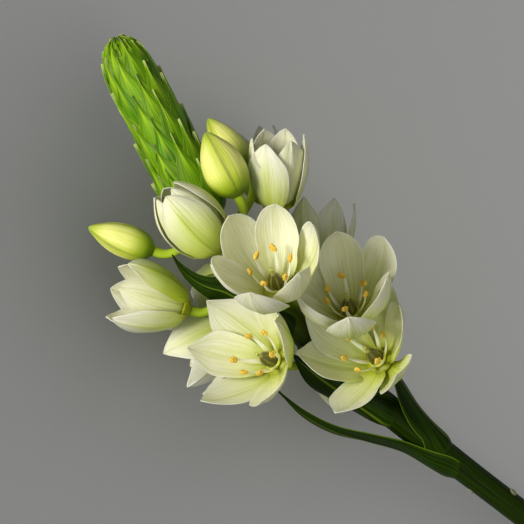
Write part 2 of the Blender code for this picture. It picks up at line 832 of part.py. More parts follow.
def build():
    clear_scene()
    green = finish("stem_green", LEAF_GREEN, 0.5)
    spire_green = finish("spire_green", SPIRE_GREEN, 0.5)
    bud_green = finish("bud_green", BUD_GREEN, 0.5)
    white = finish("tepal_white", TEPAL_WHITE, 0.55)
    gold = finish("anther_gold", ANTHER_GOLD, 0.7)
    olive = finish("ovary_olive", OVARY_OLIVE, 0.35)
    flowers = []
    for flower in FLOWERS:
        flowers.append(lowered(flower, white) if flower.name in RESTING_FLOWERS else flower)
    for flower in flowers:
        build_tepals(flower, white)
        build_stamens(flower, gold)
        build_ovary(flower, olive)
    for bud in BUDS:
        build_bud(bud, bud_green)
    build_spire(spire_green)
    build_stem(flowers, green)
    build_bracts(green)
    return centre_on_origin()


SHIFT = build()
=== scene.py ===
# %% [markdown]
# # Star of Bethlehem, a cut flowering stem
#
# The real object is one stem of an Ornithogalum: white flowers on short green stalks, a few closed
# buds, and a long green spire of bracts at the tip that would have gone on to flower. The packed
# model holds its plain solids. This script builds the fine version of each of them in the same
# place: thin veined petals, golden anthers, ribbed buds, pointed bracts and dark waxy leaves.

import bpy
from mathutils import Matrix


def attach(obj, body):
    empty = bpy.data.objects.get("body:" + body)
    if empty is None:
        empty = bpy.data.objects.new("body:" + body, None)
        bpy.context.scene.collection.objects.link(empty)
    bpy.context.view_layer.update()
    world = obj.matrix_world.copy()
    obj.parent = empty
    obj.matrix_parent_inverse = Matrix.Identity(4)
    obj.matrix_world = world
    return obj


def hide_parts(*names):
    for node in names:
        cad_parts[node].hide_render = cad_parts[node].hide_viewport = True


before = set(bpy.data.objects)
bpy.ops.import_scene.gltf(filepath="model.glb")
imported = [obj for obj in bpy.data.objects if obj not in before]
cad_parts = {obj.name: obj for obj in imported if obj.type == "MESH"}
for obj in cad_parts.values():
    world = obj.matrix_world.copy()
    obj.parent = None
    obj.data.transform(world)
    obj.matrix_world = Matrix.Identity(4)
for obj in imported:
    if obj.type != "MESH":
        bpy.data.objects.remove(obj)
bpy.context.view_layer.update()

# %% [markdown]
# ## The layout
#
# Flowers are placed as a florist sees them from above: right and up across the view, and the
# height above the table, in millimetres. The whole is turned by 45 degrees so that its length
# runs along X. One known point, the tip of the left bud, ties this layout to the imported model:
# reading it from the model is safer than typing an offset, because it follows each new pack.

# %% Tools for places and smooth lines
import bmesh
import bpy
import math
import random
from collections import namedtuple
from mathutils import Matrix
from mathutils import Vector
from mathutils import noise

MM = 0.001
UP = Vector((0.0, 0.0, 1.0))
LAY_TURN = math.radians(45.0)
FIT_GAP = 0.3 * MM
LEFT_BUD_BASE = (-27.6, 2.8, 27.0)
LEFT_BUD_AXIS = (-0.93, 0.34, 0.1)
LEFT_BUD_LENGTH = 17.6


def turned_in(right, up, height):
    """A place of the layout in millimetres, turned to the model's axes, in metres."""
    return Matrix.Rotation(LAY_TURN, 3, "Z") @ (Vector((right, up, height)) * MM)


def facing(right, up, towards):
    """A direction of the layout as a unit vector."""
    return turned_in(right, up, towards).normalized()


bud_axis = facing(*LEFT_BUD_AXIS)
bud_points = [vertex.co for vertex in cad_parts["bud_left"].data.vertices]
bud_tip = max(bud_points, key=lambda point: point.dot(bud_axis))
SHIFT = bud_tip - turned_in(*LEFT_BUD_BASE) - bud_axis * LEFT_BUD_LENGTH * MM
print("layout shift in mm:", [round(x * 1000, 2) for x in SHIFT])


def placed(right, up, height):
    """A point of the layout as a place in the model."""
    return turned_in(right, up, height) + SHIFT


def through(points, fraction):
    """A point on the smooth curve through the given points, at a fraction of their count."""
    spans = len(points) - 1
    place = min(max(fraction, 0.0), 1.0) * spans
    k = min(int(place), spans - 1)
    t = place - k
    a, b = points[k], points[k + 1]
    before = points[k - 1] if k > 0 else a * 2 - b
    after = points[k + 2] if k + 2 <= spans else b * 2 - a
    return 0.5 * (
        2 * a
        + (b - before) * t
        + (2 * before - 5 * a + 4 * b - after) * t * t
        + (3 * a - before - 3 * b + after) * t * t * t
    )


def read_table(table, x):
    """A value from a table of (place, value) pairs, on a curve with soft corners between them."""
    for k, ((x0, y0), (x1, y1)) in enumerate(zip(table, table[1:])):
        if x <= x1 or k == len(table) - 2:
            before = table[k - 1] if k > 0 else (2 * x0 - x1, y0)
            after = table[k + 2] if k + 2 < len(table) else (2 * x1 - x0, y1)
            t = min(max((x - x0) / (x1 - x0), 0.0), 1.0)
            leave = (y1 - before[1]) / (x1 - before[0]) * (x1 - x0)
            arrive = (after[1] - y0) / (after[0] - x0) * (x1 - x0)
            bow = (2 * t**3 - 3 * t * t + 1) * y0 + (t**3 - 2 * t * t + t) * leave
            return bow + (3 * t * t - 2 * t**3) * y1 + (t**3 - t * t) * arrive


def soft_step(low, high, x):
    """0 below low, 1 above high, and a smooth rise between them."""
    t = min(max((x - low) / (high - low), 0.0), 1.0)
    return t * t * (3 - 2 * t)


def bulge(u, width):
    """1 on the middle line of a leaf, and less to both sides of it."""
    return math.exp(-((u / width) ** 2))


class Route:
    """A smooth line through points, read by the distance along it."""

    def __init__(self, points, steps=160):
        self.points = [through(points, k / steps) for k in range(steps + 1)]
        self.reach = [0.0]
        for a, b in zip(self.points, self.points[1:]):
            self.reach.append(self.reach[-1] + (b - a).length)
        self.length = self.reach[-1]

    def at(self, distance):
        """The point of the line at a distance from its start."""
        distance = min(max(distance, 0.0), self.length)
        k = 1
        while k < len(self.reach) - 1 and self.reach[k] < distance:
            k += 1
        span = self.reach[k] - self.reach[k - 1]
        return self.points[k - 1].lerp(self.points[k], (distance - self.reach[k - 1]) / span)

    def direction(self, distance, step=0.5 * MM):
        """The way the line runs at a distance from its start."""
        return (self.at(distance + step) - self.at(distance - step)).normalized()

    def nearest(self, point):
        """How far along the line its nearest place to a point is."""
        k = min(range(len(self.points)), key=lambda i: (self.points[i] - point).length)
        return self.reach[k]


# %% [markdown]
# ## Camera, table and light
#
# The stem was photographed from straight above, so the camera looks down, turned to match the
# layout. A long lens far away keeps the flowers free of distortion. The light is one soft lamp
# from the left, which gives the petals their modelling, and a weak wide fill from the front. In
# the photograph the backdrop hangs far behind the flower, so no shadow falls on it. Here the stem
# lies on its board, so the board leaves out those two lamps and has a wide lamp of its own.

# %% Camera
CAMERA_HEIGHT = 800.0
FOCUS_HEIGHT = 40.0
FIELD_WIDTH = 131.0
SENSOR_WIDTH = 36.0

camera_data = bpy.data.cameras.new("table_camera")
camera_data.sensor_width = SENSOR_WIDTH
camera_data.lens = SENSOR_WIDTH * (CAMERA_HEIGHT - FOCUS_HEIGHT) / FIELD_WIDTH
camera = bpy.data.objects.new("table_camera", camera_data)
camera.location = placed(0.0, 0.0, CAMERA_HEIGHT)
camera.rotation_euler = (0.0, 0.0, LAY_TURN)
bpy.context.scene.collection.objects.link(camera)
bpy.context.scene.camera = camera
print("lens in mm:", round(camera_data.lens, 1))

# %% Lamps
KEY_PLACE = (-510.0, 70.0, 600.0)
KEY_SIZE = 0.36
KEY_POWER = 6.6
KEY_COLOUR = (1.0, 0.965, 0.86)
FILL_PLACE = (150.0, -260.0, 740.0)
FILL_SIZE = 0.7
FILL_POWER = 1.5
FILL_COLOUR = (1.0, 0.99, 0.94)
BACKDROP_PLACE = (450.0, 60.0, 560.0)
BACKDROP_SIZE = 1.2
BACKDROP_POWER = 2.3
BACKDROP_COLOUR = (1.0, 1.0, 0.99)
LAMP_AIM = (0.0, 0.0, 30.0)
SKY_COLOUR = (0.97, 0.985, 1.0, 1.0)
SKY_STRENGTH = 0.16


def add_lamp(name, place, size, power, colour):
    """A round lamp that points at the flowers."""
    data = bpy.data.lights.new(name, "AREA")
    data.shape = "DISK"
    data.size = size
    data.energy = power
    data.color = colour
    lamp = bpy.data.objects.new(name, data)
    lamp.location = placed(*place)
    aim = placed(*LAMP_AIM) - lamp.location
    lamp.rotation_euler = aim.to_track_quat("-Z", "Y").to_euler()
    bpy.context.scene.collection.objects.link(lamp)
    return lamp


key_lamp = add_lamp("key_lamp", KEY_PLACE, KEY_SIZE, KEY_POWER, KEY_COLOUR)
fill_lamp = add_lamp("fill_lamp", FILL_PLACE, FILL_SIZE, FILL_POWER, FILL_COLOUR)
backdrop_lamp = add_lamp("backdrop_lamp", BACKDROP_PLACE, BACKDROP_SIZE, BACKDROP_POWER, BACKDROP_COLOUR)
room = bpy.data.worlds.new("studio_room")
room.use_nodes = True
room.node_tree.nodes["Background"].inputs["Color"].default_value = SKY_COLOUR
room.node_tree.nodes["Background"].inputs["Strength"].default_value = SKY_STRENGTH
bpy.context.scene.world = room
bpy.context.scene.view_settings.view_transform = "Standard"

# %% [markdown]
# ## Colours and shader nodes
#
# Colours are written as the sRGB hex values that a painter would pick, and one function turns
# them to the linear light that a shader works in. One other function adds a shader node with its
# settings and links, so that each finish below reads as a recipe from top to bottom. A colour is
# built up as in glazing: a base, and thin tints over it wherever a mark or a pattern calls for one.
# Two patterns return from finish to finish: lengthwise streaks, for the parallel veins that all
# plants of this kind have, and an even grain.

# %% Helpers for the finishes
def paint(code):
    """An sRGB hex colour as linear red, green, blue and 1."""
    parts = [int(code[k : k + 2], 16) / 255 for k in (1, 3, 5)]
    linear = [c / 12.92 if c <= 0.04045 else ((c + 0.055) / 1.055) ** 2.4 for c in parts]
    return (*linear, 1.0)


def add(tree, kind, inputs, output=0, **settings):
    """Add a node and give one of its outputs. An input is a value, or another node's output."""
    node = tree.nodes.new("ShaderNode" + kind)
    for name, value in settings.items():
        setattr(node, name, value)
    for name, value in inputs.items():
        if isinstance(value, bpy.types.NodeSocket):
            tree.links.new(value, node.inputs[name])
        else:
            node.inputs[name].default_value = value
    return node.outputs[output]


MIX = {"output": 2, "data_type": "RGBA"}
SOFT = {"interpolation_type": "SMOOTHSTEP"}
TONE_OFFSET = 37.0


def tint(tree, colour, code, mark, start, end, most):
    """Lay a hex colour over another: none where the mark is at start, and most of it from end on."""
    share = add(tree, "MapRange", {0: mark, 1: start, 2: end, 3: 0.0, 4: most}, **SOFT)
    return add(tree, "Mix", {0: share, 6: colour, 7: paint(code)}, **MIX)


def streaks(tree, marks, across, along, detail=3.0):
    """Uneven lengthwise lines: about so many across the width, and so many breaks in the length."""
    x = add(tree, "Math", {0: marks["across"], 1: across}, operation="MULTIPLY")
    y = add(tree, "Math", {0: marks["along"], 1: along}, operation="MULTIPLY")
    z = add(tree, "Math", {0: marks["tone"], 1: TONE_OFFSET}, operation="MULTIPLY")
    place = add(tree, "CombineXYZ", {0: x, 1: y, 2: z})
    return add(tree, "TexNoise", {"Vector": place, "Scale": 1.0, "Detail": detail})


def grain(tree, size_mm, detail=2.0):
    """An even grain whose spots are about the given size on the real surface."""
    where = add(tree, "TexCoord", {}, "Object")
    return add(tree, "TexNoise", {"Vector": where, "Scale": 1.0 / (size_mm * MM), "Detail": detail})


MARKS = ("along", "across", "outside", "tone", "green")


def new_finish(name):
    """A material with its tree and shader, and the marks that each mesh carries at its points."""
    mat = bpy.data.materials.new(name)
    mat.use_nodes = True
    tree = mat.node_tree
    marks = {mark: add(tree, "Attribute", {}, "Fac", attribute_name=mark) for mark in MARKS}
    marks["off"] = add(tree, "Math", {0: marks["across"]}, operation="ABSOLUTE")
    return mat, tree, tree.nodes["Principled BSDF"], marks


def finish_with(tree, shader, colour, roughness, height, depth_mm, values):
    """Link colour and roughness, raise the surface up to a depth, and set the shader's other values."""
    bump = add(tree, "Bump", {"Height": height, "Distance": depth_mm * MM, "Strength": 1.0})
    tree.links.new(colour, shader.inputs["Base Color"])
    tree.links.new(roughness, shader.inputs["Roughness"])
    tree.links.new(bump, shader.inputs["Normal"])
    for name, value in values.items():
        shader.inputs[name].default_value = value


# %% [markdown]
# ## The table's finish
#
# Matt pale board: no gloss, and only a trace of cloudiness so that it doesn't look like a flat fill.
# It is near white, and looks mid grey because its own lamp is weak. White petals stand out on it.

# %% Matt board
TABLE_SIZE = 6.0
BOARD_PALE = "#DCDCDA"
BOARD_CLOUD = "#E0E0DE"
BOARD_CLOUD_SIZE = 90.0
BOARD_GRAIN = 0.8

board, tree, shader, marks = new_finish("matt_pale_board")
cloud = grain(tree, BOARD_CLOUD_SIZE)
colour = add(tree, "Mix", {0: cloud, 6: paint(BOARD_PALE), 7: paint(BOARD_CLOUD)}, **MIX)
rough = add(tree, "MapRange", {0: cloud, 1: 0.3, 2: 0.7, 3: 0.92, 4: 0.98})
finish_with(tree, shader, colour, rough, grain(tree, BOARD_GRAIN), 0.02, {"Specular IOR Level": 0.1})
table_mesh = bpy.data.meshes.new("table_board")
corner = TABLE_SIZE / 2
table_mesh.from_pydata(
    [(-corner, -corner, 0.0), (corner, -corner, 0.0), (corner, corner, 0.0), (-corner, corner, 0.0)],
    [],
    [(0, 1, 2, 3)],
)
table_mesh.materials.append(board)
table = bpy.data.objects.new("table_board", table_mesh)
bpy.context.scene.collection.objects.link(table)


def choose_light(lamp, piece, choice):
    """EXCLUDE keeps a lamp's light off a piece. INCLUDE keeps it off everything else."""
    if lamp.light_linking.receiver_collection is None:
        lamp.light_linking.receiver_collection = bpy.data.collections.new(lamp.name + "_choice")
    chosen = lamp.light_linking.receiver_collection
    chosen.objects.link(piece)
    chosen.collection_objects[-1].light_linking.link_state = choice


choose_light(key_lamp, table, "EXCLUDE")
choose_light(fill_lamp, table, "EXCLUDE")
choose_light(backdrop_lamp, table, "INCLUDE")

# %% [markdown]
# ## Petal finish
#
# A tepal of this flower is a thin, slightly waxy leaf of white tissue. Air between its cells makes
# it white, fine veins run from base to tip, the throat is yellow-green, and the outside is lime
# green near its base with a darker line along the middle. Its tissue lets light through, so the
# shader has some subsurface scattering. The veins are about 0.5 mm apart on the real petal and
# are drawn at that spacing; its cells are near 0.03 mm, too fine to see, and are drawn ten times
# coarser.

# %% Waxy white tepal: its colour
PETAL_WHITE = "#F5F3E0"
PETAL_CREAM = "#EFEECC"
PETAL_VEIN = "#D2D9A0"
PETAL_FLUSH = "#CFD778"
PETAL_LIME = "#C2D83C"
PETAL_THROAT = "#B2BC22"
PETAL_DEEP_THROAT = "#8C9412"
PETAL_STRIPE = "#BBCB4E"
PETAL_STRIPE_DARK = "#94A628"
PETAL_LIME_STRENGTH = 1.5
PETAL_CELL_SIZE = 0.35

petal, tree, shader, marks = new_finish("waxy_white_tepal")
vein = streaks(tree, marks, 16.0, 1.6)
fine_vein = streaks(tree, marks, 46.0, 2.6, 2.0)
colour = add(tree, "Mix", {0: marks["tone"], 6: paint(PETAL_WHITE), 7: paint(PETAL_CREAM)}, **MIX)
colour = tint(tree, colour, PETAL_VEIN, vein, 0.42, 0.68, 0.6)
colour = tint(tree, colour, PETAL_VEIN, fine_vein, 0.4, 0.7, 0.28)
reach = add(tree, "Math", {0: marks["green"], 1: 0.4, 2: 0.42}, operation="MULTIPLY_ADD")
reach = add(tree, "Math", {0: marks["outside"], 1: 0.25, 2: reach}, operation="MULTIPLY_ADD")
near_base = add(tree, "MapRange", {0: marks["along"], 1: reach, 2: 0.08, 3: 0.0, 4: 0.8}, **SOFT)
strength = add(tree, "Math", {0: marks["green"], 1: 0.6, 2: 0.45}, operation="MULTIPLY_ADD")
flush = add(tree, "Math", {0: near_base, 1: strength}, operation="MULTIPLY")
colour = add(tree, "Mix", {0: flush, 6: colour, 7: paint(PETAL_FLUSH)}, **MIX)
lime = marks["outside"]
for share in (marks["green"], near_base, PETAL_LIME_STRENGTH):
    lime = add(tree, "Math", {0: lime, 1: share}, operation="MULTIPLY", use_clamp=True)
colour = add(tree, "Mix", {0: lime, 6: colour, 7: paint(PETAL_LIME)}, **MIX)
throat_edge = add(tree, "Math", {0: vein, 1: 0.5, 2: 0.08}, operation="MULTIPLY_ADD")
throat = add(tree, "MapRange", {0: marks["along"], 1: 0.03, 2: throat_edge, 3: 1.0, 4: 0.0}, **SOFT)
throat = add(tree, "Math", {0: throat, 1: strength}, operation="MULTIPLY")
colour = add(tree, "Mix", {0: throat, 6: colour, 7: paint(PETAL_THROAT)}, **MIX)
colour = tint(tree, colour, PETAL_DEEP_THROAT, marks["along"], 0.17, 0.03, 0.85)

# %% Waxy white tepal: its green stripe, margin and surface
middle = add(tree, "MapRange", {0: marks["off"], 1: 0.42, 2: 0.02, 3: 0.0, 4: 1.0}, **SOFT)
length = add(tree, "MapRange", {0: marks["along"], 1: 1.0, 2: 0.6, 3: 0.0, 4: 1.0}, **SOFT)
side = add(tree, "MapRange", {0: marks["outside"], 1: 0.0, 2: 1.0, 3: 0.3, 4: 1.0})
uneven = add(tree, "MapRange", {0: vein, 1: 0.3, 2: 0.62, 3: 0.5, 4: 1.15}, **SOFT)
stripe = middle
for share in (length, marks["green"], side, uneven):
    stripe = add(tree, "Math", {0: stripe, 1: share}, operation="MULTIPLY", use_clamp=True)
colour = add(tree, "Mix", {0: stripe, 6: colour, 7: paint(PETAL_STRIPE)}, **MIX)
line = add(tree, "MapRange", {0: marks["off"], 1: 0.1, 2: 0.02, 3: 0.0, 4: 0.6}, **SOFT)
line = add(tree, "Math", {0: line, 1: stripe}, operation="MULTIPLY")
colour = add(tree, "Mix", {0: line, 6: colour, 7: paint(PETAL_STRIPE_DARK)}, **MIX)
free = add(tree, "MapRange", {0: marks["along"], 1: 0.25, 2: 0.6, 3: 0.0, 4: 0.7}, **SOFT)
colour = tint(tree, colour, PETAL_WHITE, marks["off"], 0.9, 1.0, free)
rough = add(tree, "MapRange", {0: vein, 1: 0.3, 2: 0.7, 3: 0.42, 4: 0.58}, **SOFT)
cells = add(tree, "Math", {0: grain(tree, PETAL_CELL_SIZE), 1: 0.12}, operation="MULTIPLY")
height = add(tree, "Math", {0: fine_vein, 1: 0.3, 2: cells}, operation="MULTIPLY_ADD")
height = add(tree, "Math", {0: vein, 1: 0.7, 2: height}, operation="MULTIPLY_ADD")
finish_with(tree, shader, colour, rough, height, 0.24, {
    "IOR": 1.42, "Subsurface Weight": 0.5, "Subsurface Radius": (1.0, 0.95, 0.6),
    "Subsurface Scale": 0.0012,
})
print("petal finish has", len(tree.nodes), "nodes")

# %% [markdown]
# ## Stamen and pistil finishes
#
# A filament is a flat white strap, smooth and a little glassy. An anther is covered in golden
# pollen: a loose powder, so it is fully rough. A grain of it is near 0.05 mm, too fine to see, and
# is drawn as a crumb of about 0.25 mm. The ovary in the middle is firm and waxy, dark olive, and
# its gloss is the brightest highlight in the flower.

# %% Filament
FILAMENT_CREAM = "#F0F0DA"
FILAMENT_FOOT = "#BDC23C"
FILAMENT_GRAIN = 0.4

filament, tree, shader, marks = new_finish("glassy_white_filament")
colour = tint(tree, paint(FILAMENT_FOOT), FILAMENT_CREAM, marks["along"], 0.0, 0.5, 1.0)
spots = grain(tree, FILAMENT_GRAIN)
rough = add(tree, "MapRange", {0: spots, 1: 0.3, 2: 0.7, 3: 0.35, 4: 0.5})
finish_with(tree, shader, colour, rough, spots, 0.05, {
    "Subsurface Weight": 0.3, "Subsurface Scale": 0.001,
})

# %% Pollen
POLLEN_GOLD = "#FADB56"
POLLEN_DEEP = "#DBA01C"
POLLEN_PALE = "#FCEB9C"
POLLEN_GRAIN = 0.26
POLLEN_FINE_GRAIN = 0.15

pollen, tree, shader, marks = new_finish("powdery_gold_pollen")
spots = grain(tree, POLLEN_GRAIN, 3.0)
colour = tint(tree, paint(POLLEN_DEEP), POLLEN_GOLD, spots, 0.36, 0.58, 1.0)
colour = tint(tree, colour, POLLEN_PALE, grain(tree, POLLEN_FINE_GRAIN), 0.56, 0.7, 0.85)
# Darker along the groove between the two pollen sacs: painted shade.
colour = tint(tree, colour, POLLEN_DEEP, marks["off"], 0.18, 0.0, 0.8)
rough = add(tree, "MapRange", {0: spots, 1: 0.3, 2: 0.7, 3: 0.8, 4: 0.98})
finish_with(tree, shader, colour, rough, spots, 0.35, {})

# %% Ovary
OVARY_OLIVE = "#5E5A10"
OVARY_DARK = "#33300A"
OVARY_LIGHT = "#97982A"
STYLE_GREEN = "#B5B65A"

ovary, tree, shader, marks = new_finish("waxy_olive_ovary")
vein = streaks(tree, marks, 9.0, 1.5)
colour = tint(tree, paint(OVARY_DARK), OVARY_OLIVE, vein, 0.35, 0.65, 1.0)
colour = tint(tree, colour, OVARY_LIGHT, marks["off"], 0.8, 1.0, 0.45)
colour = tint(tree, colour, STYLE_GREEN, marks["along"], 0.66, 0.78, 1.0)
rough = add(tree, "MapRange", {0: vein, 1: 0.3, 2: 0.7, 3: 0.22, 4: 0.38})
finish_with(tree, shader, colour, rough, vein, 0.12, {"Coat Weight": 0.3})

# %% [markdown]
# ## Green finishes
#
# The buds are still tight, so their tissue is yellow-green with paler stripes between the veins.
# The bracts of the spire are fresh green with pale tips; a painted highlight runs along each ridge and
# painted shade darkens the margins. Stem and leaves are darker, with a waxy cuticle that gives a broad soft
# highlight.

# %% Bud skin
BUD_PALE = "#EDED8C"
BUD_GREEN = "#B9CB18"
BUD_DEEP = "#6E900A"
BUD_SEAM = "#7E9A1A"
BUD_TIP = "#A9C44C"

bud_skin, tree, shader, marks = new_finish("waxy_bud_skin")
vein = streaks(tree, marks, 9.0, 1.1)
fine_vein = streaks(tree, marks, 24.0, 1.6)
rising = add(tree, "MapRange", {0: marks["along"], 1: 0.1, 2: 0.5, 3: 0.0, 4: 1.0}, **SOFT)
ending = add(tree, "MapRange", {0: marks["along"], 1: 1.0, 2: 0.75, 3: 0.1, 4: 1.0}, **SOFT)
side = add(tree, "MapRange", {0: marks["off"], 1: 1.0, 2: 0.5, 3: 0.1, 4: 1.0}, **SOFT)
uneven = add(tree, "MapRange", {0: vein, 1: 0.34, 2: 0.6, 3: 0.6, 4: 1.0}, **SOFT)
pale = rising
for share in (ending, side, uneven):
    pale = add(tree, "Math", {0: pale, 1: share}, operation="MULTIPLY")
colour = add(tree, "Mix", {0: pale, 6: paint(BUD_GREEN), 7: paint(BUD_PALE)}, **MIX)
colour = tint(tree, colour, BUD_GREEN, fine_vein, 0.5, 0.72, 0.4)
colour = tint(tree, colour, BUD_DEEP, marks["along"], 0.4, 0.0, 0.9)
colour = tint(tree, colour, BUD_SEAM, marks["outside"], 0.95, 0.4, 0.35)
colour = tint(tree, colour, BUD_TIP, marks["along"], 0.88, 1.0, 0.8)
rough = add(tree, "MapRange", {0: vein, 1: 0.3, 2: 0.7, 3: 0.38, 4: 0.52})
height = add(tree, "Math", {0: vein, 1: 0.7, 2: fine_vein}, operation="MULTIPLY_ADD")
finish_with(tree, shader, colour, rough, height, 0.2, {
    "Subsurface Weight": 0.25, "Subsurface Radius": (0.8, 1.0, 0.3), "Subsurface Scale": 0.0015,
})

# %% Spire bracts
SPIRE_GREEN = "#5A9200"
SPIRE_DEEP = "#2A5200"
SPIRE_LIGHT = "#AAD01E"
SPIRE_TIP = "#C8DA84"

spire_skin, tree, shader, marks = new_finish("fresh_green_bract")
vein = streaks(tree, marks, 8.0, 1.3)
colour = tint(tree, paint(SPIRE_DEEP), SPIRE_GREEN, vein, 0.3, 0.68, 1.0)
share = add(tree, "Math", {0: marks["tone"], 1: 0.28}, operation="MULTIPLY")
colour = add(tree, "Mix", {0: share, 6: colour, 7: paint(SPIRE_LIGHT)}, **MIX)
# A lighter line along the ridge of each bract, in its upper part, is a painted highlight.
ridge_highlight = add(tree, "MapRange", {0: marks["off"], 1: 0.4, 2: 0.0, 3: 0.0, 4: 0.75}, **SOFT)
upper = add(tree, "MapRange", {0: marks["along"], 1: 0.2, 2: 0.7, 3: 0.0, 4: 1.0}, **SOFT)
share = add(tree, "Math", {0: ridge_highlight, 1: upper}, operation="MULTIPLY")
colour = add(tree, "Mix", {0: share, 6: colour, 7: paint(SPIRE_LIGHT)}, **MIX)
# Darker towards each bract's margins: painted shade where the bracts overlap.
colour = tint(tree, colour, SPIRE_DEEP, marks["off"], 0.25, 0.85, 0.25)
colour = tint(tree, colour, SPIRE_LIGHT, marks["off"], 0.9, 1.0, 0.3)
colour = tint(tree, colour, SPIRE_TIP, marks["along"], 0.8, 1.0, 0.8)
rough = add(tree, "MapRange", {0: vein, 1: 0.3, 2: 0.7, 3: 0.34, 4: 0.5})
finish_with(tree, shader, colour, rough, vein, 0.3, {
    "Specular IOR Level": 0.18, "Subsurface Weight": 0.12, "Subsurface Radius": (0.6, 1.0, 0.1),
    "Subsurface Scale": 0.001,
})

# %% Stem
STEM_DARK = "#0F1B00"
STEM_GREEN = "#203500"
STEM_YOUNG = "#B0CB34"
STEM_SCAR = "#B9B68A"

stem_skin, tree, shader, marks = new_finish("waxy_green_stem")
vein = streaks(tree, marks, 17.0, 7.0)
colour = tint(tree, paint(STEM_DARK), STEM_GREEN, vein, 0.32, 0.66, 1.0)
uneven = add(tree, "MapRange", {0: vein, 1: 0.2, 2: 0.7, 3: 0.7, 4: 1.0}, **SOFT)
share = add(tree, "Math", {0: marks["green"], 1: uneven}, operation="MULTIPLY")
colour = add(tree, "Mix", {0: share, 6: colour, 7: paint(STEM_YOUNG)}, **MIX)
colour = add(tree, "Mix", {0: marks["outside"], 6: colour, 7: paint(STEM_SCAR)}, **MIX)
rough = add(tree, "MapRange", {0: vein, 1: 0.3, 2: 0.7, 3: 0.34, 4: 0.5})
finish_with(tree, shader, colour, rough, vein, 0.2, {
    "Specular IOR Level": 0.08, "Subsurface Weight": 0.08, "Subsurface Radius": (0.5, 1.0, 0.2),
    "Subsurface Scale": 0.001,
})

# %% Leaf
LEAF_DARK = "#111F00"
LEAF_GREEN = "#243E00"
LEAF_EDGE = "#86A428"
LEAF_FOOT = "#2C4608"

leaf_skin, tree, shader, marks = new_finish("waxy_dark_leaf")
vein = streaks(tree, marks, 10.0, 1.3)
colour = tint(tree, paint(LEAF_DARK), LEAF_GREEN, vein, 0.32, 0.66, 1.0)
colour = tint(tree, colour, LEAF_EDGE, marks["off"], 0.1, 0.0, 0.4)
colour = tint(tree, colour, LEAF_EDGE, marks["off"], 0.94, 1.0, 0.5)
colour = tint(tree, colour, LEAF_FOOT, marks["along"], 0.14, 0.0, 0.5)
rough = add(tree, "MapRange", {0: vein, 1: 0.3, 2: 0.7, 3: 0.36, 4: 0.52})
finish_with(tree, shader, colour, rough, vein, 0.22, {
    "Specular IOR Level": 0.08, "Subsurface Weight": 0.1, "Subsurface Radius": (0.5, 1.0, 0.2),
    "Subsurface Scale": 0.001,
})
print("finishes:", sorted(mat.name for mat in bpy.data.materials if mat.use_nodes))

# %% [markdown]
# ## How a piece is put together
#
# Petals and leaves are thin sheets, and stalks are tubes. Both could be drawn with curves and a
# thickness modifier, but a mesh made row by row lets every point carry marks: how far along the
# petal it lies, how far across, and whether it is on the outside. The finishes read these marks,
# so that veins and stripes follow the form of each petal with no unwrapping.

# %% A shape that carries marks
SHARP_ANGLE = math.radians(60.0)


class Shape:
    """The points, faces and marks of one piece, gathered before its mesh is made."""

    def __init__(self):
        self.points = []
        self.faces = []
        self.finish = []
        self.marks = {name: [] for name in MARKS}

    def point(self, place, **marks):
        """Add a point with its marks, and give its number."""
        self.points.append(place)
        for name in MARKS:
            self.marks[name].append(marks.get(name, 0.0))
        return len(self.points) - 1

    def band(self, low, high, finish=0):
        """Four-sided faces between two rows of points."""
        for k in range(len(low) - 1):
            self.faces.append((low[k], low[k + 1], high[k + 1], high[k]))
            self.finish.append(finish)

    def cap(self, loop, finish=0):
        """One face across a whole loop of points."""
        self.faces.append(tuple(loop))
        self.finish.append(finish)


def show(name, shape, finishes, node):
    """Make the piece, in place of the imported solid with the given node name."""
    mesh = bpy.data.meshes.new(name)
    mesh.from_pydata(shape.points, [], shape.faces)
    for mark_name in MARKS:
        layer = mesh.attributes.new(mark_name, "FLOAT", "POINT")
        layer.data.foreach_set("value", shape.marks[mark_name])
    mesh.polygons.foreach_set("material_index", shape.finish)
    work = bmesh.new()
    work.from_mesh(mesh)
    bmesh.ops.recalc_face_normals(work, faces=work.faces[:])
    work.to_mesh(mesh)
    work.free()
    mesh.shade_smooth()
    mesh.set_sharp_from_angle(angle=SHARP_ANGLE)
    for finish in finishes:
        mesh.materials.append(finish)
    obj = bpy.data.objects.new(name, mesh)
    bpy.context.scene.collection.objects.link(obj)
    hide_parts(node)
    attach(obj, "root")
    return obj


def add_sheet(shape, grid, thickness, edge, **fixed):
    """A thin closed sheet from rows of (point, normal, along, across), thinner at its margins."""
    sheets = []
    for side in (1.0, -1.0):
        rows = []
        for row in grid:
            numbers = []
            for place, normal, along, across in row:
                thick = thickness * (1.0 - (1.0 - edge) * abs(across) ** 3)
                marks = dict(fixed, along=along, across=across, outside=0.0 if side > 0 else 1.0)
                numbers.append(shape.point(place + normal * thick / 2 * side, **marks))
            rows.append(numbers)
        sheets.append(rows)
        for low, high in zip(rows, rows[1:]):
            shape.band(low, high)
    front, back = sheets
    for end in (0, -1):
        shape.band([row[end] for row in front], [row[end] for row in back])
        shape.band(front[end], back[end])


def add_tube(shape, rings, marks_of, finish=0):
    """A closed tube through rings of points; marks_of gives the marks of ring i, point j."""
    loops = []
    for i, points in enumerate(rings):
        loops.append([shape.point(place, **marks_of(i, j)) for j, place in enumerate(points)])
    for low, high in zip(loops, loops[1:]):
        shape.band(low + low[:1], high + high[:1], finish)
    shape.cap(loops[0], finish)
    shape.cap(loops[-1], finish)


def turned(first, second, angle):
    """The first direction turned towards the second by an angle."""
    return first * math.cos(angle) + second * math.sin(angle)


def frame_of(axis):
    """Two unit vectors across an axis: the first lies along the view's right."""
    right = facing(1.0, 0.0, 0.0)
    across = (right - axis * right.dot(axis)).normalized()
    return across, axis.cross(across)


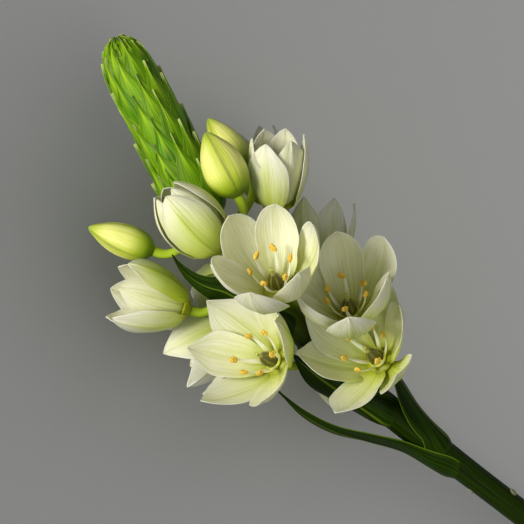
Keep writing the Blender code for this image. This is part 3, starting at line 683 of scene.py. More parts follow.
def swept(path, radius_of, sides, flat=1.0):
    """Rings round a path, each turned as little as possible from the one before it."""
    rings = []
    across = None
    for k, place in enumerate(path):
        along = (path[min(k + 1, len(path) - 1)] - path[max(k - 1, 0)]).normalized()
        across = frame_of(along)[0] if across is None else across - along * across.dot(along)
        across.normalize()
        over = across.cross(along)
        ring = []
        for j in range(sides):
            angle = 2 * math.pi * (j + 0.5) / sides
            reach = radius_of(k, angle)
            ring.append(place + (across * math.sin(angle) - over * math.cos(angle) * flat) * reach)
        rings.append(ring)
    return rings


# %% [markdown]
# ## The flowers
#
# Each flower has three outer and three inner tepals, set 60 degrees apart. A tepal starts at the
# foot of the flower, leans out, and curls in again towards its tip, and its sides are hollowed
# like a spoon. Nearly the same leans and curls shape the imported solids, so the fine tepals lie in
# them; a few in the left cups and the lowest flower lean a little otherwise, as they grew.
# On top of that comes what no two petals share: a soft wave of the margin, a crease along the
# middle, and a slight sideways bend.
#
# The two flowers at the far side stand in the shade of the others in the photograph. A
# photographer would hold a card before the lamp, and here the main lamp leaves out their petals.

# %% Where the flowers are
# Form: the curl in degrees, length and width in millimetres, spoon and taper as factors.
# Flower: its foot in the layout, the way it faces, its turn about that axis, and for each tepal the
# opening and the sideways swing in degrees and a share of green.
Form = namedtuple("Form", "curl length width spoon taper")
Flower = namedtuple("Flower", "name base axis turn opening swing form greens")

WIDE = Form(71, 24.7, 13.4, 1.75, 0.0)
FLAT = Form(42, 24.4, 12.8, 1.3, 0.55)
CUP = Form(53, 21.2, 11.8, 1.0, 0.3)
EGG = Form(96, 23.5, 14.5, 1.2, 0.1)
BACK = Form(50, 22.0, 10.8, 1.0, 0.4)
SMALL = Form(50, 20.0, 9.8, 1.0, 0.4)
EVEN = (0,) * 6
PLAIN_GREENS = (0.5, 0.25, 0.5, 0.25, 0.5, 0.25)
FLOWERS = (
    Flower("bloom_centre", (3.8, -6.8, 54.5), (-0.17, 0.59, 0.79), 15.5, (25, 27, 26, 32, 30, 29),
           (2, 1, -3, 1, 2, -5), WIDE, (0.9, 0.1, 0.2, 0.2, 0.35, 0.2)),
    Flower("bloom_left_low", (3.9, -25.3, 33.0), (-0.63, 0.27, 0.72), -4, (30, 33, 31, 34, 34, 44),
           (12, -7, 4, -4, -3, -3), FLAT, (0.8, 0.8, 0.9, 0.8, 0.8, 0.5)),
    Flower("bloom_right", (22.2, -13.4, 42.5), (-0.17, 0.63, 0.77), 36.6, (30, 26, 22, 29, 32, 28),
           (3, -2, 0, 0, -1, 1), WIDE, (0.9, 0.3, 0.4, 0.4, 0.7, 0.5)),
    Flower("bloom_right_low", (30.0, -25.1, 33.0), (-0.52, 0.42, 0.74), 73, (46, 30, 26, 52, 44, 37),
           (0, 10, 0, 0, 0, 0), FLAT, (0.9, 1.0, 1.0, 1.0, 1.0, 0.7)),
    Flower("cup_top", (4.2, 14.3, 33.5), (-0.02, 0.91, 0.42), 4, (10, 8, 7, 12, 8, 8), EVEN, CUP,
           (0.35, 0.1, 0.35, 0.1, 0.5, 0.1)),
    Flower("cup_left_top", (-11.4, 4.0, 44.0), (-0.65, 0.68, 0.34), -85, (0, 1, 1, 2, 2, 1),
           (0, 0, 0, 0, 4, -4), EGG, (0.75, 0.5, 0.75, 0.5, 0.75, 0.5)),
    Flower("cup_left", (-19.8, -11.8, 28.5), (-0.94, 0.28, 0.22), 12, (17, 12, 18, 18, 18, 12),
           (-13, 0, 0, 0, 0, 0), CUP, (1.0, 1.0, 0.6, 0.3, 0.5, 0.2)),
)
# The flowers behind and below these open evenly: name, foot, direction, opening and form of each.
PLAIN_FLOWERS = (
    ("bloom_left_back", (-6.8, -15.8, 19.5), (-0.82, -0.52, -0.16), 24, BACK),
    ("bloom_right_back", (14.0, -3.6, 27.0), (0.03, 0.97, -0.15), 16, BACK),
    ("cup_top_back", (1.0, 16.5, 18.5), (-0.24, 0.95, -0.08), 10, SMALL),
    ("cup_under_left", (-8.0, -5.0, 17.0), (-0.3, -0.2, -0.93), 10, SMALL),
    ("cup_under_right", (3.6, 1.2, 17.0), (0.3, 0.28, -0.9), 10, SMALL),
    ("cup_under_low", (17.0, -24.0, 18.8), (0.35, -0.55, -0.7), 10, SMALL),
)
FLOWERS += tuple(
    Flower(name, base, axis, 0, (lean,) * 6, EVEN, form, PLAIN_GREENS)
    for name, base, axis, lean, form in PLAIN_FLOWERS
)
RESTING_FLOWERS = ("cup_under_left", "cup_under_right")
SHADED_FLOWERS = ("bloom_right_back", "cup_top_back")
print("flowers:", len(FLOWERS))

# %% The form of one tepal
TEPAL_THICKNESS = 0.36 * MM
TEPAL_EDGE = 0.35
TEPAL_OUTLINE = (
    (0.0, 0.26), (0.08, 0.42), (0.3, 0.86), (0.52, 1.0), (0.68, 0.97), (0.8, 0.83), (0.9, 0.58),
    (0.96, 0.33), (1.0, 0.04),
)
TEPAL_TIP_SHARE = 0.03
TAPER_FROM = 0.68
SPOON_FROM = 0.15
SPOON_FULL = 0.5
TEPAL_PITCH = 60.0
TEPAL_TRACE = 150
TEPAL_ROWS = 30
TEPAL_ROWS_CROWDING = 0.3
TEPAL_COLUMNS = 16
TEPAL_BASE_FLARE = math.radians(42.0)
TEPAL_FLARE_LENGTH = 0.22
TEPAL_WIDEST_HEADING = math.radians(88.0)
OUTER_HOLLOW = 0.75
INNER_HOLLOW = 1.05
HOLLOW_AT_BASE = 0.2
HOLLOW_FULL_FROM = 0.3
OUTER_REACH = 2.1 * MM
INNER_REACH = 1.3 * MM
OUTER_RISE = -0.5 * MM
INNER_RISE = 0.35 * MM
INNER_LENGTH = 0.96
INNER_WIDTH = 1.04
WAVE_DEPTH = 0.55 * MM
WAVE_DEPTHS = (0.5, 1.2)
WAVE_FROM = 0.2
WAVE_FULL = 0.7
WAVES_ALONG = 3.2
WAVES_ACROSS = 0.8
WAVE_TO_MARGIN = 1.5
WAVE_PER_WIDTH = 1.5
WAVE_LAYER = 4.0
SEEDS = (0.0, 100.0)
SWAYS = (-0.6, 0.6)
CREASE_DEPTH = 0.28 * MM
CREASE_WIDTH = 0.1
CREASE_FULL = 0.2


def tepal_direction(flower, k):
    """The directions outwards and sideways of one tepal of a flower."""
    axis = facing(*flower.axis)
    across, over = frame_of(axis)
    out = turned(across, over, math.radians(flower.turn + TEPAL_PITCH * k + flower.swing[k]))
    return out, axis.cross(out)


def tepal_grid(flower, k):
    """Rows of (point, normal, along, across) of one tepal: outer ones at even k, inner ones at odd k."""
    axis = facing(*flower.axis)
    base = placed(*flower.base)
    out, side = tepal_direction(flower, k)
    inner = k % 2
    lean = math.radians(flower.opening[k])
    curl = math.radians(flower.form.curl)
    length = flower.form.length * MM * (INNER_LENGTH if inner else 1.0)
    half = flower.form.width * MM / 2 * (INNER_WIDTH if inner else 1.0)
    reach = INNER_REACH if inner else OUTER_REACH
    rise_up = INNER_RISE if inner else OUTER_RISE
    hollow = INNER_HOLLOW if inner else OUTER_HOLLOW
    draw = random.Random(f"{flower.name} tepal {k}")
    seed = draw.uniform(*SEEDS)
    wave = WAVE_DEPTH * draw.uniform(*WAVE_DEPTHS)
    sway = draw.uniform(*SWAYS) * MM
    row_steps = set()
    for row in range(TEPAL_ROWS + 1):
        t = row / TEPAL_ROWS
        row_steps.add(round(t * (1.0 + TEPAL_ROWS_CROWDING - TEPAL_ROWS_CROWDING * t) * TEPAL_TRACE))
    grid = []
    for step in range(TEPAL_TRACE + 1):
        s = step / TEPAL_TRACE
        flare = max(0.0, 1.0 - s / TEPAL_FLARE_LENGTH) ** 2 * TEPAL_BASE_FLARE
        heading = min(lean + curl * (0.5 - s) + flare, TEPAL_WIDEST_HEADING)
        normal = axis * math.sin(heading) - out * math.cos(heading)
        middle = base + out * reach + axis * rise_up
        if step in row_steps:
            taper = 1.0 - flower.form.taper * soft_step(TAPER_FROM, 1.0, s)
            wide = half * max(read_table(TEPAL_OUTLINE, s) * taper, TEPAL_TIP_SHARE)
            spoon = 1.0 + (flower.form.spoon - 1.0) * soft_step(SPOON_FROM, SPOON_FULL, s)
            cup = wide / reach * hollow * spoon * min(1.0, HOLLOW_AT_BASE + s / HOLLOW_FULL_FROM)
            row = []
            for j in range(TEPAL_COLUMNS + 1):
                u = 2 * j / TEPAL_COLUMNS - 1
                bend = cup * u
                shift = side * math.sin(bend) + normal * (1 - math.cos(bend))
                tilt = normal * math.cos(bend) - side * math.sin(bend)
                free = soft_step(WAVE_FROM, WAVE_FULL, s) * min(1.0, wide / half * WAVE_PER_WIDTH)
                ripple = noise.noise(Vector((s * WAVES_ALONG, u * WAVES_ACROSS + seed, WAVE_LAYER)))
                ripple = ripple * abs(u) ** WAVE_TO_MARGIN * wave
                crease = -CREASE_DEPTH * bulge(u, CREASE_WIDTH) * soft_step(0.0, CREASE_FULL, s)
                place = middle + shift * wide / cup + side * sway * s * s
                row.append((place + tilt * (ripple * free + crease), tilt, s, u))
            grid.append(row)
        reach += math.sin(heading) * length / TEPAL_TRACE
        rise_up += math.cos(heading) * length / TEPAL_TRACE
    return grid


# %% [markdown]
# Under the tepals sits a small green cup, the receptacle, that carries them on the stalk. It is a
# turned form, so a profile of height and radius is swept round the flower's axis.

# %% Receptacles and tepals
RECEPTACLE = (
    (-1.7, 1.25), (-1.5, 1.6), (-0.9, 2.6), (-0.1, 3.3), (0.6, 3.7), (1.0, 3.3), (1.15, 2.0), (1.2, 0.4),
)
RECEPTACLE_SIDES = 36


def turned_rings(base, axis, profile, sides, lobes=0.0):
    """Rings of a turned form from (height, radius) pairs in millimetres, with three lobes if asked."""
    across, over = frame_of(axis)
    rings = []
    for height, radius in profile:
        ring = []
        for j in range(sides):
            angle = 2 * math.pi * j / sides
            reach = radius * MM * (1.0 + lobes * math.cos(3 * angle))
            ring.append(base + axis * height * MM + turned(across, over, angle) * reach)
        rings.append(ring)
    return rings


def petals_of(flower):
    """All six tepals and the receptacle of a flower as one shape."""
    shape = Shape()
    rings = turned_rings(placed(*flower.base), facing(*flower.axis), RECEPTACLE, RECEPTACLE_SIDES)
    add_tube(shape, rings, lambda i, j: {"along": 0.04, "across": 1.0, "green": 1.0, "tone": 0.5})
    for k in range(6):
        tone = random.Random(f"{flower.name} tone {k}").random()
        green = flower.greens[k]
        add_sheet(shape, tepal_grid(flower, k), TEPAL_THICKNESS, TEPAL_EDGE, tone=tone, green=green)
    return shape


def lowered(flower):
    """The same flower, at the height where its lowest tepal touches the table."""
    low = min(place.z for place in petals_of(flower).points)
    right, up, height = flower.base
    return flower._replace(base=(right, up, height - low / MM))


FLOWERS = [lowered(flower) if flower.name in RESTING_FLOWERS else flower for flower in FLOWERS]
for flower in FLOWERS:
    piece = show(flower.name + "_petals", petals_of(flower), [petal], flower.name + "_tepals")
    if flower.name in SHADED_FLOWERS:
        choose_light(key_lamp, piece, "EXCLUDE")
    print(piece.name, len(piece.data.polygons))

# %% [markdown]
# ## Pistils and stamens
#
# The ovary is pear-shaped with three soft lobes, and ends in a short style with a knob. Six flat
# filaments rise round it. Each carries an anther balanced across its tip, two pollen sacs with a
# groove between them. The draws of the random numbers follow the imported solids.

# %% Pistils
OVARY_PROFILE = (
    (1.5, 1.25), (1.9, 1.5), (2.6, 1.78), (3.4, 1.88), (4.2, 1.82), (5.0, 1.6), (5.7, 1.28), (6.2, 0.92),
    (6.6, 0.6), (7.2, 0.45), (7.9, 0.42), (8.3, 0.5), (8.55, 0.62), (8.7, 0.5), (8.78, 0.15),
)
OVARY_SIDES = 36
OVARY_LOBES = 0.07
OVARY_TOP = 8.78


def pistil_of(flower):
    """The ovary with its style, one turned form."""
    shape = Shape()
    tone = random.Random(flower.name + " pistil").random()
    base, axis = placed(*flower.base), facing(*flower.axis)
    rings = turned_rings(base, axis, OVARY_PROFILE, OVARY_SIDES, OVARY_LOBES)

    def marks_of(i, j):
        share = (OVARY_PROFILE[i][0] - OVARY_PROFILE[0][0]) / (OVARY_TOP - OVARY_PROFILE[0][0])
        around = math.cos(3 * 2 * math.pi * j / OVARY_SIDES)
        return {"along": share, "across": -around, "tone": tone}

    add_tube(shape, rings, marks_of)
    return shape


# %% Stamens
COLLAR_SIDES = 30
COLLAR_LOW = 1.5 * MM
COLLAR_OUTER = 2.4 * MM
COLLAR_INNER = 1.85 * MM
FILAMENT_REACH = 7.6 * MM
FILAMENT_ROOT = 0.2 * MM
FILAMENT_LEAN_SHARE = 0.8
FILAMENT_LEAN_LESS = 1.0
FILAMENT_SWING = (-0.1, 0.1)
FILAMENT_STRETCH = (0.9, 1.08)
FILAMENT_STEPS = 12
FILAMENT_SIDES = 10
FILAMENT_WIDTHS = ((0.0, 0.62), (0.3, 0.6), (0.7, 0.42), (0.93, 0.24), (1.0, 0.16))
FILAMENT_FLAT = 0.45
FILAMENT_BOW = 0.5 * MM
ANTHER_LENGTH = 2.4 * MM
ANTHER_SWING = (-1.0, 1.0)
ANTHER_TIP_OUT = (0.0, 1.5)
ANTHER_PROFILE = (
    (0.0, 0.1), (0.06, 0.42), (0.2, 0.66), (0.5, 0.76), (0.8, 0.62), (0.94, 0.38), (1.0, 0.08),
)
ANTHER_START = 0.08
ANTHER_DEPTH = 0.85
ANTHER_CRUMB = 0.4 * MM
ANTHER_STEPS = 20
ANTHER_SIDES = 24
ANTHER_GROOVE = 0.3
ANTHER_GROOVE_NARROW = 6
ANTHER_CRUMBLE = 0.5
COLLAR_PROFILE = ((1.5, 2.35), (1.75, 2.45), (2.1, 2.35), (2.25, 2.1), (2.1, 1.95), (1.6, 1.88))


def stamens_of(flower):
    """A low collar with six filaments and their anthers as one shape with two finishes."""
    axis = facing(*flower.axis)
    base = placed(*flower.base)
    shape = Shape()
    add_tube(shape, turned_rings(base, axis, COLLAR_PROFILE, COLLAR_SIDES), lambda i, j: {"along": 0.1})
    draw = random.Random(flower.name)
    lean = math.radians(sum(flower.opening) / 6 * FILAMENT_LEAN_SHARE - FILAMENT_LEAN_LESS)
    for k in range(6):
        out, side = tepal_direction(flower._replace(swing=EVEN), k)
        start = base + out * (COLLAR_OUTER + COLLAR_INNER) / 2 + axis * (COLLAR_LOW + FILAMENT_ROOT)
        up = (turned(axis, out, lean) + side * draw.uniform(*FILAMENT_SWING)).normalized()
        neck = start + up * FILAMENT_REACH * draw.uniform(*FILAMENT_STRETCH)
        lie = axis + side * draw.uniform(*ANTHER_SWING) + out * draw.uniform(*ANTHER_TIP_OUT) * lean
        lie.normalize()
        path = []
        for step in range(FILAMENT_STEPS + 1):
            t = step / FILAMENT_STEPS
            path.append(start.lerp(neck, t) + out * math.sin(math.pi * t) * FILAMENT_BOW)
        rings = []
        for step, place in enumerate(path):
            wide = read_table(FILAMENT_WIDTHS, step / FILAMENT_STEPS) * MM
            ring = []
            for j in range(FILAMENT_SIDES):
                angle = 2 * math.pi * j / FILAMENT_SIDES
                ring.append(place + turned(side, out * FILAMENT_FLAT, angle) * wide)
            rings.append(ring)
        add_tube(shape, rings, lambda i, j: {"along": i / FILAMENT_STEPS})
        add_anther(shape, neck, lie, out, k)
    return shape


def add_anther(shape, neck, lie, out, k):
    """Two pollen sacs side by side, with a groove between them and a crumbly skin."""
    wide = lie.cross(out).normalized()
    deep = wide.cross(lie)
    rings = []
    turns = []
    for i in range(ANTHER_STEPS + 1):
        t = i / ANTHER_STEPS
        radius = read_table(ANTHER_PROFILE, t) * MM
        ring = []
        for j in range(ANTHER_SIDES):
            angle = 2 * math.pi * j / ANTHER_SIDES
            reach = radius * (1.0 - ANTHER_GROOVE * abs(math.sin(angle)) ** ANTHER_GROOVE_NARROW)
            place = neck + lie * ANTHER_LENGTH * (t - ANTHER_START)
            place += turned(wide, deep * ANTHER_DEPTH, angle) * reach
            crumb = noise.noise(place / ANTHER_CRUMB) * ANTHER_CRUMBLE
            ring.append(place + turned(wide, deep, angle) * radius * crumb)
            turns.append(math.cos(angle))
        rings.append(ring)
    add_tube(shape, rings, lambda i, j: {"along": i / ANTHER_STEPS, "across": turns[j], "tone": k / 6}, 1)


for flower in FLOWERS:
    show(flower.name + "_pistil", pistil_of(flower), [ovary], flower.name + "_ovary")
    finishes = [filament, pollen]
    show(flower.name + "_filaments", stamens_of(flower), finishes, flower.name + "_stamens")
print("pistils and stamens:", len(FLOWERS), "of each")

# %% [markdown]
# ## Closed buds
#
# A bud shows three outer tepals folded shut, and strips of the three inner ones between their
# margins. One closed skin is enough: its radius steps down where an outer margin ends, and each
# tepal has a crown of its own. The tip stays pinched, with a small opening of margins.

# %% Buds
# Bud: its foot in the layout, the way it points, length and width in millimetres, turn in degrees.
Bud = namedtuple("Bud", "name base axis length width turn")

BUDS = (
    Bud("bud_top", (-6.0, 16.5, 42.5), (-0.45, 0.88, 0.12), 17.8, 10.6, 100.0),
    Bud("bud_top_back", (-4.0, 23.0, 30.0), (-0.58, 0.8, 0.0), 16.5, 8.4, 60.0),
    Bud("bud_left", LEFT_BUD_BASE, LEFT_BUD_AXIS, LEFT_BUD_LENGTH, 8.4, 60.0),
    Bud("bud_under", (-14.0, 4.0, 18.0), (-0.75, 0.5, -0.4), 16.0, 8.4, 0.0),
)
BUD_PROFILE = (
    (0.0, 0.3), (0.02, 0.42), (0.1, 0.74), (0.2, 0.91), (0.34, 1.0), (0.48, 0.98), (0.62, 0.88),
    (0.75, 0.69), (0.86, 0.46), (0.94, 0.27), (0.98, 0.15), (1.0, 0.05),
)
BUD_SIDES = 96
BUD_STEPS = 56
BUD_STEP = 0.07
BUD_CROWN = 0.04
BUD_FOOT = 0.12
VALVE_PITCH = 120.0
VALVE_HALF = 59.0
VALVE_NARROWING = 5.0
VALVE_MARGIN = 1.5
VALVE_TONE = 0.3


def bud_of(bud):
    """A closed skin whose radius steps down between the three outer tepals."""
    shape = Shape()
    axis = facing(*bud.axis)
    base = placed(*bud.base)
    across, over = frame_of(axis)
    tone = random.Random(bud.name).random()
    between = VALVE_PITCH / 2
    rings, marks = [], []
    for i in range(BUD_STEPS + 1):
        h = i / BUD_STEPS
        radius = read_table(BUD_PROFILE, h) * bud.width * MM / 2
        half = VALVE_HALF - VALVE_NARROWING * h
        ring, row = [], []
        for j in range(BUD_SIDES):
            angle = 360.0 * j / BUD_SIDES
            off = (angle - bud.turn + between) % VALVE_PITCH - between
            outer = 1.0 - soft_step(half - VALVE_MARGIN, half + VALVE_MARGIN, abs(off))
            share = off / half
            if outer <= 0.5:
                share = (abs(off) - between) / (between - half) * math.copysign(1.0, off)
            crown = BUD_CROWN * math.cos(share * math.pi / 2)
            proud = 1.0 + (BUD_STEP * outer + crown - BUD_STEP) * soft_step(0.0, BUD_FOOT, h)
            outwards = turned(across, over, math.radians(angle))
            ring.append(base + axis * h * bud.length * MM + outwards * radius * proud)
            share = max(-1.0, min(1.0, share))
            row.append({"along": h, "across": share, "tone": tone + outer * VALVE_TONE, "outside": outer})
        rings.append(ring)
        marks.append(row)
    add_tube(shape, rings, lambda i, j: marks[i][j])
    return shape


for bud in BUDS:
    piece = show(bud.name + "_valves", bud_of(bud), [bud_skin], bud.name)
    print(piece.name, len(piece.data.polygons))

# %% [markdown]
# ## The spire
#
# The tip of the stem is a cone of bracts in a golden-angle spiral, the angle at which each new
# leaf finds the most room. A bract is broad at its base and draws out to a narrow pale point that
# stands off the cone. Each one could be a copy of a single mesh, but making each on the cone's
# own surface keeps its margins pressed down on the bracts above it.

# %% The spire's core and bracts
SPIRE_ROUTE = (
    (-13.6, 9.6, 30.0), (-17.4, 17.0, 30.2), (-21.5, 25.3, 30.4), (-26.1, 34.6, 30.6), (-31.2, 44.0, 30.8),
    (-34.6, 51.2, 30.9), (-36.8, 56.8, 31.0),
)
SPIRE_RADIUS = (
    (0.0, 3.6), (0.04, 5.9), (0.1, 7.3), (0.25, 7.6), (0.5, 7.1), (0.75, 6.6), (0.86, 6.0), (0.94, 4.5),
    (0.98, 2.7), (1.0, 1.0),
)
SPIRE_RINGS = 60
SPIRE_SIDES = 48
SPIRE_FOOT = 0.3 * MM
CORE_INSET = 0.35 * MM
CORE_STREAKS = 8.0
GOLDEN_ANGLE = math.radians(137.508)
SCALE_COUNT = 60
SCALE_LENGTH = 13.6 * MM
SCALE_HALF_WIDTH = 4.3 * MM
SCALE_HIGHEST = 0.97
SCALE_YOUNG_FROM = 0.6
SCALE_YOUNG_LOSS = 0.5
SCALE_OVERHANG = 0.3 * MM
SCALE_LAST = 0.972
SCALE_JITTER = 0.2
SCALE_TAIL = 0.1
SCALE_STRETCH = (0.85, 1.2)
SCALE_THICKNESS = 0.2 * MM
SCALE_EDGE = 0.4
SCALE_OUTLINE = (
    (0.0, 0.6), (0.12, 0.86), (0.26, 0.96), (0.38, 0.84), (0.5, 0.58), (0.62, 0.34), (0.74, 0.17),
    (0.87, 0.065), (1.0, 0.008),
)
SCALE_LIFT = ((0.0, -0.5), (0.25, 0.0), (0.5, 0.16), (0.75, 0.28), (1.0, 0.55))
SCALE_MARGIN_DROP = 0.6
SCALE_MARGIN_CURVE = 1.5
SCALE_KEEL = 0.3 * MM
SCALE_KEEL_WIDTH = 0.3
SCALE_ROWS = 20
SCALE_COLUMNS = 10
YOUNG_COUNT = 64
YOUNG_FROM = 0.84
YOUNG_CROWDING = 0.7
YOUNG_LENGTH = 4.2 * MM
YOUNG_HALF_WIDTH = 1.15 * MM


def spire_line():
    """The middle line of the spire, from its foot to its tip."""
    return Route([placed(*point) for point in SPIRE_ROUTE])


def scale_grid(route, fraction, turn, length, half):
    """Rows of one bract on the surface of the cone, its tip standing off."""
    start = route.length * fraction
    length = min(length, route.length - start + SCALE_OVERHANG)
    rows = []
    for i in range(SCALE_ROWS + 1):
        s = i / SCALE_ROWS
        distance = max(start + (s * (1 + SCALE_TAIL) - SCALE_TAIL) * length, SPIRE_FOOT)
        along = route.direction(min(distance, route.length))
        across = along.cross(UP).normalized()
        over = across.cross(along)
        radius = read_table(SPIRE_RADIUS, min(distance / route.length, 1.0)) * MM
        beyond = max(0.0, distance - route.length)
        wide = half * read_table(SCALE_OUTLINE, s)
        row = []
        for j in range(SCALE_COLUMNS + 1):
            u = 2 * j / SCALE_COLUMNS - 1
            out = turned(across, over, turn + u * wide / max(radius, SCALE_HALF_WIDTH))
            lift = read_table(SCALE_LIFT, s) * MM * (1.0 - SCALE_MARGIN_DROP * abs(u) ** SCALE_MARGIN_CURVE)
            lift += SCALE_KEEL * bulge(u, SCALE_KEEL_WIDTH) * s
            row.append((route.at(distance) + along * beyond + out * (radius + lift), out, s, u))
        rows.append(row)
    return rows


def spire_of():
    """The core, the bracts in their spiral, and the small young ones at the tip, as one shape."""
    route = spire_line()
    shape = Shape()
    path, radii = [], []
    for k in range(SPIRE_RINGS + 1):
        path.append(route.at(route.length * k / SPIRE_RINGS))
        radii.append(read_table(SPIRE_RADIUS, k / SPIRE_RINGS) * MM - CORE_INSET)
    rings = swept(path, lambda k, angle: radii[k], SPIRE_SIDES)
    add_tube(shape, rings, lambda i, j: {"along": 0.2, "across": j / SPIRE_SIDES * CORE_STREAKS, "tone": 0.1})
    for k in range(SCALE_COUNT):
        fraction = (k + 0.5) / SCALE_COUNT * SCALE_HIGHEST
        age = max(0.0, (fraction - SCALE_YOUNG_FROM) / (1.0 - SCALE_YOUNG_FROM))
        young = 1.0 - SCALE_YOUNG_LOSS * age**2
        draw = random.Random(f"bract {k}")
        length = SCALE_LENGTH * young * draw.uniform(*SCALE_STRETCH)
        turn = GOLDEN_ANGLE * k + draw.uniform(-SCALE_JITTER, SCALE_JITTER)
        grid = scale_grid(route, fraction, turn, length, SCALE_HALF_WIDTH * young)
        add_sheet(shape, grid, SCALE_THICKNESS, SCALE_EDGE, tone=draw.random())
    for k in range(YOUNG_COUNT):
        fraction = YOUNG_FROM + (SCALE_LAST - YOUNG_FROM) * (k / YOUNG_COUNT) ** YOUNG_CROWDING
        grid = scale_grid(route, fraction, GOLDEN_ANGLE * (k + SCALE_COUNT), YOUNG_LENGTH, YOUNG_HALF_WIDTH)
        tone = random.Random(f"young {k}").random()
        add_sheet(shape, grid, SCALE_THICKNESS, SCALE_EDGE, tone=tone)
    return shape


piece = show("spire_bracts", spire_of(), [spire_skin], "spire")
print(piece.name, len(piece.data.polygons))

# %% [markdown]
# ## Stem and stalks
#
# The stem is round, firm and finely ribbed. Each flower stands on a short stalk, a pedicel, that
# leaves the stem upwards and widens at both ends. They are tubes swept along smooth lines, with
# the radius read from a table, and the stalks' feet are sunk into the stem. Two small scars mark
# where leaves have dropped off.

# %% Stem line and pedicels
STEM_ROUTE = (
    (-3.2, -1.4, 29.8), (9.5, -17.0, 29.0), (20.75, -28.25, 27.0), (32.0, -37.5, 24.6), (44.5, -47.5, 21.4),
    (62.0, -61.0, 16.6), (80.0, -74.9, 11.6), (98.0, -88.9, 7.2), (112.0, -99.8, 4.4), (121.0, -106.9, 3.186),
    (131.0, -114.8, 3.186),
)
STEM_RADIUS = ((0.0, 2.6), (30.0, 3.3), (60.0, 3.9), (78.0, 3.7), (100.0, 3.35), (200.0, 3.35))
STEM_SIDES = 48
STEM_RINGS = 150
STEM_NECK = 6.0 * MM
STEM_RIB = 0.012
STEM_RIBS = 11
STEM_YOUNG_TOP = 0.35
STEM_YOUNG_END = 0.3
STEM_ACROSS = 0.9
PEDICEL_RADIUS = 1.15
PEDICEL_SIDES = 20
PEDICEL_STEPS = 28
PEDICEL_OUTWARD = 0.7
PEDICEL_UPWARD = 0.5
PEDICEL_BEND = 0.4
PEDICEL_STRAIGHT = 1.2 * MM
PEDICEL_ROOT = 9.0
PEDICEL_ROOTS = {
    "bloom_centre": 4.0,
    "bloom_right": -14.0,
    "bloom_right_low": 4.0,
    "cup_under_low": -5.0,
    "bud_left": 3.0,
}
PEDICEL_FLARE = ((0.0, 1.9), (0.2, 1.25), (0.5, 1.0), (0.85, 1.0), (0.97, 1.12), (1.0, 1.15))
PEDICEL_GAP = FIT_GAP * 0.2
STALK_YOUNG_FOOT = 0.25
STALK_YOUNG_GAIN = 0.75
STALK_YOUNG_FROM = 0.25
STALK_YOUNG_FULL = 0.8
STALK_ALONG = 0.15
STALK_ACROSS = 0.4
RECEPTACLE_BOTTOM = 1.7 * MM
SCARS = ((106.0, 4.0), (97.0, 168.0))
SCAR_SINK = 0.82
SCAR_PROFILE = ((-0.4, 1.5), (0.3, 1.35), (0.75, 0.95), (0.9, 0.6), (0.8, 0.2))
SCAR_SIDES = 20


def stem_line():
    """The middle of the stem; it starts square to the foot of the spire, a fit gap below it."""
    spire = spire_line()
    down = -spire.direction(0.0)
    top = [spire.at(0.0) + down * FIT_GAP, spire.at(0.0) + down * STEM_NECK]
    return Route(top + [placed(*point) for point in STEM_ROUTE])


def pedicel_path(stem, end, arrive, root):
    """A curve from the middle of the stem to the foot of a flower, straight at its end."""
    start_at = stem.nearest(end) + root * MM
    start = stem.at(start_at)
    bend_end = end - arrive * PEDICEL_STRAIGHT
    reach = (bend_end - start).length
    leave = (bend_end - start).normalized() * PEDICEL_OUTWARD - stem.direction(start_at) * PEDICEL_UPWARD
    first = start + leave.normalized() * reach * PEDICEL_BEND
    second = bend_end - arrive * reach * PEDICEL_BEND
    path = []
    for k in range(PEDICEL_STEPS + 1):
        t = k / PEDICEL_STEPS
        u = 1 - t
        path.append(start * u**3 + first * 3 * u * u * t + second * 3 * u * t * t + bend_end * t**3)
    return path + [end]


def stem_of():
    """The stem, its stalks and the scars as one shape."""
    shape = Shape()
    stem = stem_line()
    path, radii = [], []
    for k in range(STEM_RINGS + 1):
        distance = stem.length * k / STEM_RINGS
        radii.append(read_table(STEM_RADIUS, distance / MM) * MM)
        place = stem.at(distance)
        place.z = max(place.z, radii[-1])
        path.append(place)

    def ribbed(k, angle):
        return radii[k] * (1.0 - STEM_RIB * (1 + math.cos(STEM_RIBS * angle)))

    rings = swept(path, ribbed, STEM_SIDES)

    def trunk_marks(i, j):
        along = i / STEM_RINGS
        young = STEM_YOUNG_TOP * (1.0 - soft_step(0.0, STEM_YOUNG_END, along))
        across = math.sin(2 * math.pi * j / STEM_SIDES) * STEM_ACROSS
        return {"along": along, "across": across, "green": young, "tone": 0.3}

    add_tube(shape, rings, trunk_marks)
    for piece in (*FLOWERS, *BUDS):
        axis = facing(*piece.axis)
        below = RECEPTACLE_BOTTOM if isinstance(piece, Flower) else 0.0
        end = placed(*piece.base) - axis * (below + PEDICEL_GAP)
        route = pedicel_path(stem, end, axis, PEDICEL_ROOTS.get(piece.name, PEDICEL_ROOT))
        count = len(route) - 1
        tone = random.Random(piece.name + " stalk").random()
        widths = [PEDICEL_RADIUS * MM * read_table(PEDICEL_FLARE, k / count) for k in range(count + 1)]
        rings = swept(route, lambda k, angle: widths[k], PEDICEL_SIDES)

        def stalk_marks(i, j):
            young = STALK_YOUNG_GAIN * soft_step(STALK_YOUNG_FROM, STALK_YOUNG_FULL, i / count)
            young += STALK_YOUNG_FOOT
            across = math.sin(2 * math.pi * j / PEDICEL_SIDES) * STALK_ACROSS
            return {"along": i / count * STALK_ALONG, "across": across, "green": young, "tone": tone}

        add_tube(shape, rings, stalk_marks)
    for place, degrees in SCARS:
        along = stem.direction(place * MM)
        turn = Matrix.Rotation(math.radians(degrees), 3, along) @ frame_of(along)[0]
        low = stem.at(place * MM) + turn * read_table(STEM_RADIUS, place) * MM * SCAR_SINK
        rings = turned_rings(low, turn, SCAR_PROFILE, SCAR_SIDES)
        add_tube(shape, rings, lambda i, j: {"along": 0.3, "across": 0.5, "outside": 0.6 if i > 1 else 0.1})
    return shape


